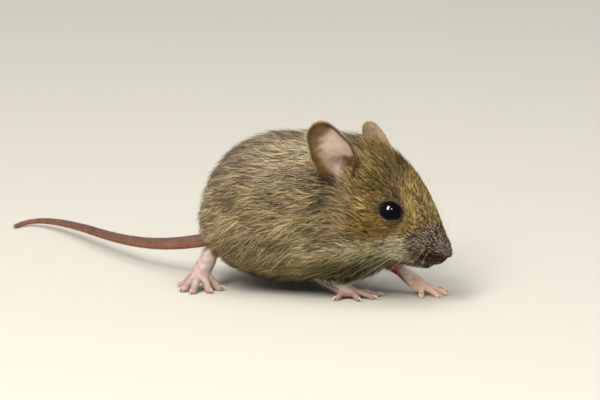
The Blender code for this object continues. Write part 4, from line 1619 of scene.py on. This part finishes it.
coat_material, coat_shader = paint("coat_hair", (0.3, 0.24, 0.15), 0.62)
hair_colour = coat_material.node_tree.nodes.new("ShaderNodeAttribute")
hair_colour.attribute_name = "coat_colour"
fed(coat_shader, {"Base Color": hair_colour.outputs["Color"], "Specular IOR Level": 0.25})

roots = at_faces(points, lock_face, lock_shares)
root_normals = lock_normals[:, 0]
limb = at_faces(limb_share, lock_face, lock_shares) > 0.5
piece_numbers = piece_of_each(roots, root_normals, limb)
DARK_SHARES = {
    "coat_back": 0.36, "coat_crown": 0.40, "coat_rump": 0.30, "coat_belly": 0.10,
    "coat_legs": 0.0, "coat_muzzle": 0.48,
}
DARK_SHARE_ELSEWHERE = 0.28


def hair_piece(name, corners, spike, colours, place):
    """A finished piece of the coat, with its material."""
    mesh = coat_mesh(name, corners, spike, colours, place)
    piece = finished_object(name, mesh)
    piece.data.materials.append(coat_material)
    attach(piece, "root")
    print(name, len(corners), "hairs,", len(mesh.polygons), "faces")
    return len(mesh.polygons)


faces_set = 0
for number, name in enumerate(PIECES):
    keep = piece_numbers == number
    lock, path, normal, width = hairs_of_locks(keep)
    corners = spikes(path, normal, width, HAIR, HAIR_TAPER)
    colours = banded_colours(lock, DARK_SHARES.get(name, DARK_SHARE_ELSEWHERE))
    faces_set += hair_piece(name, corners, HAIR, colours, unwrapped(roots[lock], name))
tell("faces of the coat:", faces_set)

# %% [markdown]
# ## Down on the ears and the tail
# Ears and tail look bare, but short fine hairs cover them. They are brown where the
# ear is brown and pale along its rim. On the tail they come out between the scales
# and lie towards the tip.

# %% Down on ears and tail
DOWN_WIDTH = 0.055
DOWN_SUNK = 0.03  # how far the roots are sunk in the skin
DOWN_BANDS = np.array((0.75, 1.0, 1.25))


def down_on(mesh, plan, way, rise, length):
    """Roots, stations and normals of straight short hairs scattered over a mesh."""
    rows, normals, _ = as_rows(mesh)
    mesh.calc_loop_triangles()
    faces = listed(mesh.loop_triangles, "vertices", 3, np.int64)
    face, shares = scattered(rows, faces, plan * COAT_SHARE)

    def at_root(values):
        return (values[faces[face]] * shares[:, :, None]).sum(axis=1)

    root, normal = at_root(rows), unit(at_root(normals))
    heading = unit(at_root(way) + rng.normal(0.0, 0.22, root.shape))
    heading = unit(heading - normal * np.sum(heading * normal, axis=1, keepdims=True))
    heading = unit(heading + normal * at_root(rise[:, None]))
    reach = at_root(length[:, None]) * rng.uniform(0.6, 1.2, (len(root), 1))
    steps = np.array(STATIONS)[None, :, None] * reach[:, :, None]
    path = root[:, None, :] - normal[:, None, :] * DOWN_SUNK + heading[:, None, :] * steps
    return root, path, np.repeat(normal[:, None, :], len(STATIONS), axis=1), at_root


def down_colours(mean, spread):
    tone = np.clip(rng.normal(1.0, spread, len(mean)), 0.4, 1.8)
    colours = (mean * tone[:, None])[:, None, :] * DOWN_BANDS[HAIR.levels][None, :, None]
    return np.clip(colours, *COLOUR_LIMITS)


def ear_down(side):
    mesh, ear = ear_meshes[side], EARS[side]
    aside, share, inside = ear_places(mesh, side)
    rows, _, _ = as_rows(mesh)
    up, _, forward = (np.array(TURN @ axis) for axis in ear_axes(ear))
    radius = np.maximum(abs(aside), np.hypot(aside, 2 * share - 1) * (share > 0.5))
    rim = smoothstep(0.93, 1.0, radius)
    front = smoothstep(0.3, 0.8, aside)
    brown = brown_share(aside, share, rows)
    red = red_and_shade_share(aside, share, rows)
    plan = inside * (2.0 + 20.0 * brown**2 + 20.0 * red) + (1 - inside) * 22.0
    plan = plan + 22.0 * rim
    way = up + forward * (aside * 0.9)[:, None]
    rise = 0.30 + 0.25 * rim + 0.15 * inside
    length = 0.55 + 0.45 * (1 - inside) * smoothstep(0.6, 0.2, share) - 0.20 * rim * front
    _, path, normal, at_root = down_on(mesh, plan, way, rise, length)
    mean = blend(blend(COLOURS["down_inside"], "down_red", red), "down_brown", brown)
    outer = (1 - inside) * (1.0 - 0.45 * smoothstep(0.70, 0.30, share))
    mean = mean * inside[:, None] + COLOURS["down_outside"] * outer[:, None]
    mean = blend(mean, "down_rim", rim * (0.8 - 0.55 * front))
    place = at_root(np.stack([aside, share, inside], axis=1))
    place = np.stack([place[:, 0] + 2.4 * place[:, 2], place[:, 1] * 2], axis=1)
    return path, normal, down_colours(at_root(mean), 0.28), place


def tail_down():
    rows, normals, _ = as_rows(tail_mesh)
    ring = listed(tail_mesh.attributes["ring"].data, "value")
    way = unit(np.gradient(tail_line[:, :3], axis=0))[ring.astype(int)]
    plan = np.full(len(rows), 8.0)
    flat = np.full(len(rows), 1.0)
    root, path, normal, at_root = down_on(tail_mesh, plan, way, flat * 0.22, flat * 0.75)
    mean = blend(COLOURS["down_below"], "down_above", smoothstep(-0.3, 0.5, normals[:, 2]))
    place = np.stack([root[:, 0], np.arctan2(normal[:, 0, 1], normal[:, 0, 2])], axis=1)
    return path, normal, down_colours(at_root(mean), 0.22), place


for name, parts_of_down in {
    "down_ear_right": ear_down("right"),
    "down_ear_left": ear_down("left"),
    "down_tail": tail_down(),
}.items():
    path, normal, colours, place = parts_of_down
    widths = DOWN_WIDTH * rng.uniform(0.8, 1.2, len(path))
    hair_piece(name, spikes(path, normal, widths, HAIR, HAIR_TAPER), HAIR, colours, place)

# %% [markdown]
# ## Whiskers
# Whiskers grow in rows on the pad of the snout. The front ones are short, the rear
# ones long. Each leaves the skin sideways and bends back. A few longer hairs stand
# over the eyes and under the chin.

# %% Whiskers
WHISKER_LEVELS = 9
WHISKER_ROWS, WHISKER_COLUMNS = 5, 6
PAD_REAR, PAD_FRONT = 25.0, 29.3
PAD_LOW, PAD_HIGH = 9.6, 12.7
SHORT_WHISKER, LONG_WHISKER = 4.5, 21.0
WHISKER_WIDTH = 0.046
WHISKER = build_spike(WHISKER_LEVELS)
WHISKER_TAPER = np.linspace(1.0, 0.0, WHISKER_LEVELS) ** 0.7
skin_tree = BVHTree.FromPolygons(points.tolist(), triangles.tolist())
Whisker = namedtuple("Whisker", "root start end length")


def bent(whisker):
    """Points of a hair that leaves the skin one way and ends another way."""
    steps = np.linspace(0.0, 1.0, WHISKER_LEVELS)[:, None]
    start, end = unit(np.array(whisker.start)), unit(np.array(whisker.end))
    ways = unit(start + (end - start) * steps) * whisker.length / (WHISKER_LEVELS - 1)
    line = np.vstack([np.zeros(3), np.cumsum(ways[:-1], axis=0)])
    root = skin_tree.find_nearest(HEAD_TURN @ Vector(whisker.root))[0]
    return np.array(root) + line @ np.array(TURN).T


def whiskers_of(side):
    out = -1.0 if side == "right" else 1.0
    raised = 0.0 if side == "right" else 0.75
    made = []
    for row in range(WHISKER_ROWS):
        for column in range(WHISKER_COLUMNS):
            low, rear = row / (WHISKER_ROWS - 1), column / (WHISKER_COLUMNS - 1)
            jitter = rng.normal(0.0, 0.12, 5)
            root = (
                PAD_FRONT + (PAD_REAR - PAD_FRONT) * rear + jitter[0],
                out * 4.0,
                PAD_HIGH + (PAD_LOW - PAD_HIGH) * low + jitter[1],
            )
            lift = raised * (1 - low)
            start = (0.15 - 0.55 * rear, out * 0.75, -0.05 - 0.40 * low + lift + jitter[2])
            drop = 0.35 + 0.45 * low + jitter[4] - 1.4 * lift
            end = (-0.35 - 0.60 * rear, out * (0.50 - 0.35 * rear), -drop)
            length = SHORT_WHISKER + (LONG_WHISKER - SHORT_WHISKER) * rear**1.1
            length *= (1 - 0.35 * abs(low - 0.6)) * (1 + jitter[3])
            made.append(Whisker(root, start, end, length))
    for place in ((22.6, 4.4, 19.6), (21.6, 5.0, 20.0)):
        root = (place[0], out * place[1], place[2])
        made.append(Whisker(root, (0.2, out * 0.5, 0.9), (-0.5, out * 0.6, 0.6), 7.0))
    for along in (23.5, 25.0, 26.5):
        root = (along, out * 1.2, 5.0)
        made.append(Whisker(root, (0.0, out * 0.5, -0.8), (-0.7, out * 0.3, -0.4), 3.0))
    return made


whiskers = whiskers_of("right") + whiskers_of("left")
whisker_paths = np.stack([bent(whisker) for whisker in whiskers])
upright = np.tile((0.35, 0.0, 0.94), (len(whiskers), WHISKER_LEVELS, 1))
whisker_lengths = np.array([whisker.length for whisker in whiskers])
whisker_widths = WHISKER_WIDTH * (0.45 + 0.55 * whisker_lengths / LONG_WHISKER)
upper = np.array([w.root[2] > 11.0 and w.length < 14.0 for w in whiskers])[:, None, None]
dark_root = smoothstep(0.0, 0.30, WHISKER.levels / (WHISKER_LEVELS - 1))[None, :, None]
dark_root = dark_root * np.where(upper, 0.12, 1.0)
whisker_tone = rng.uniform(0.75, 1.15, (len(whiskers), 1, 1))
whisker_colours = COLOURS["whisker_root"]
whisker_colours = whisker_colours + (COLOURS["whisker_tip"] - whisker_colours) * dark_root
whisker_places = np.stack([np.arange(len(whiskers)) % 9, np.arange(len(whiskers)) // 9], axis=1)
hair_piece(
    "whiskers",
    spikes(whisker_paths, upright, whisker_widths, WHISKER, WHISKER_TAPER),
    WHISKER,
    np.clip(whisker_colours * whisker_tone, *COLOUR_LIMITS),
    whisker_places.astype(float),
)
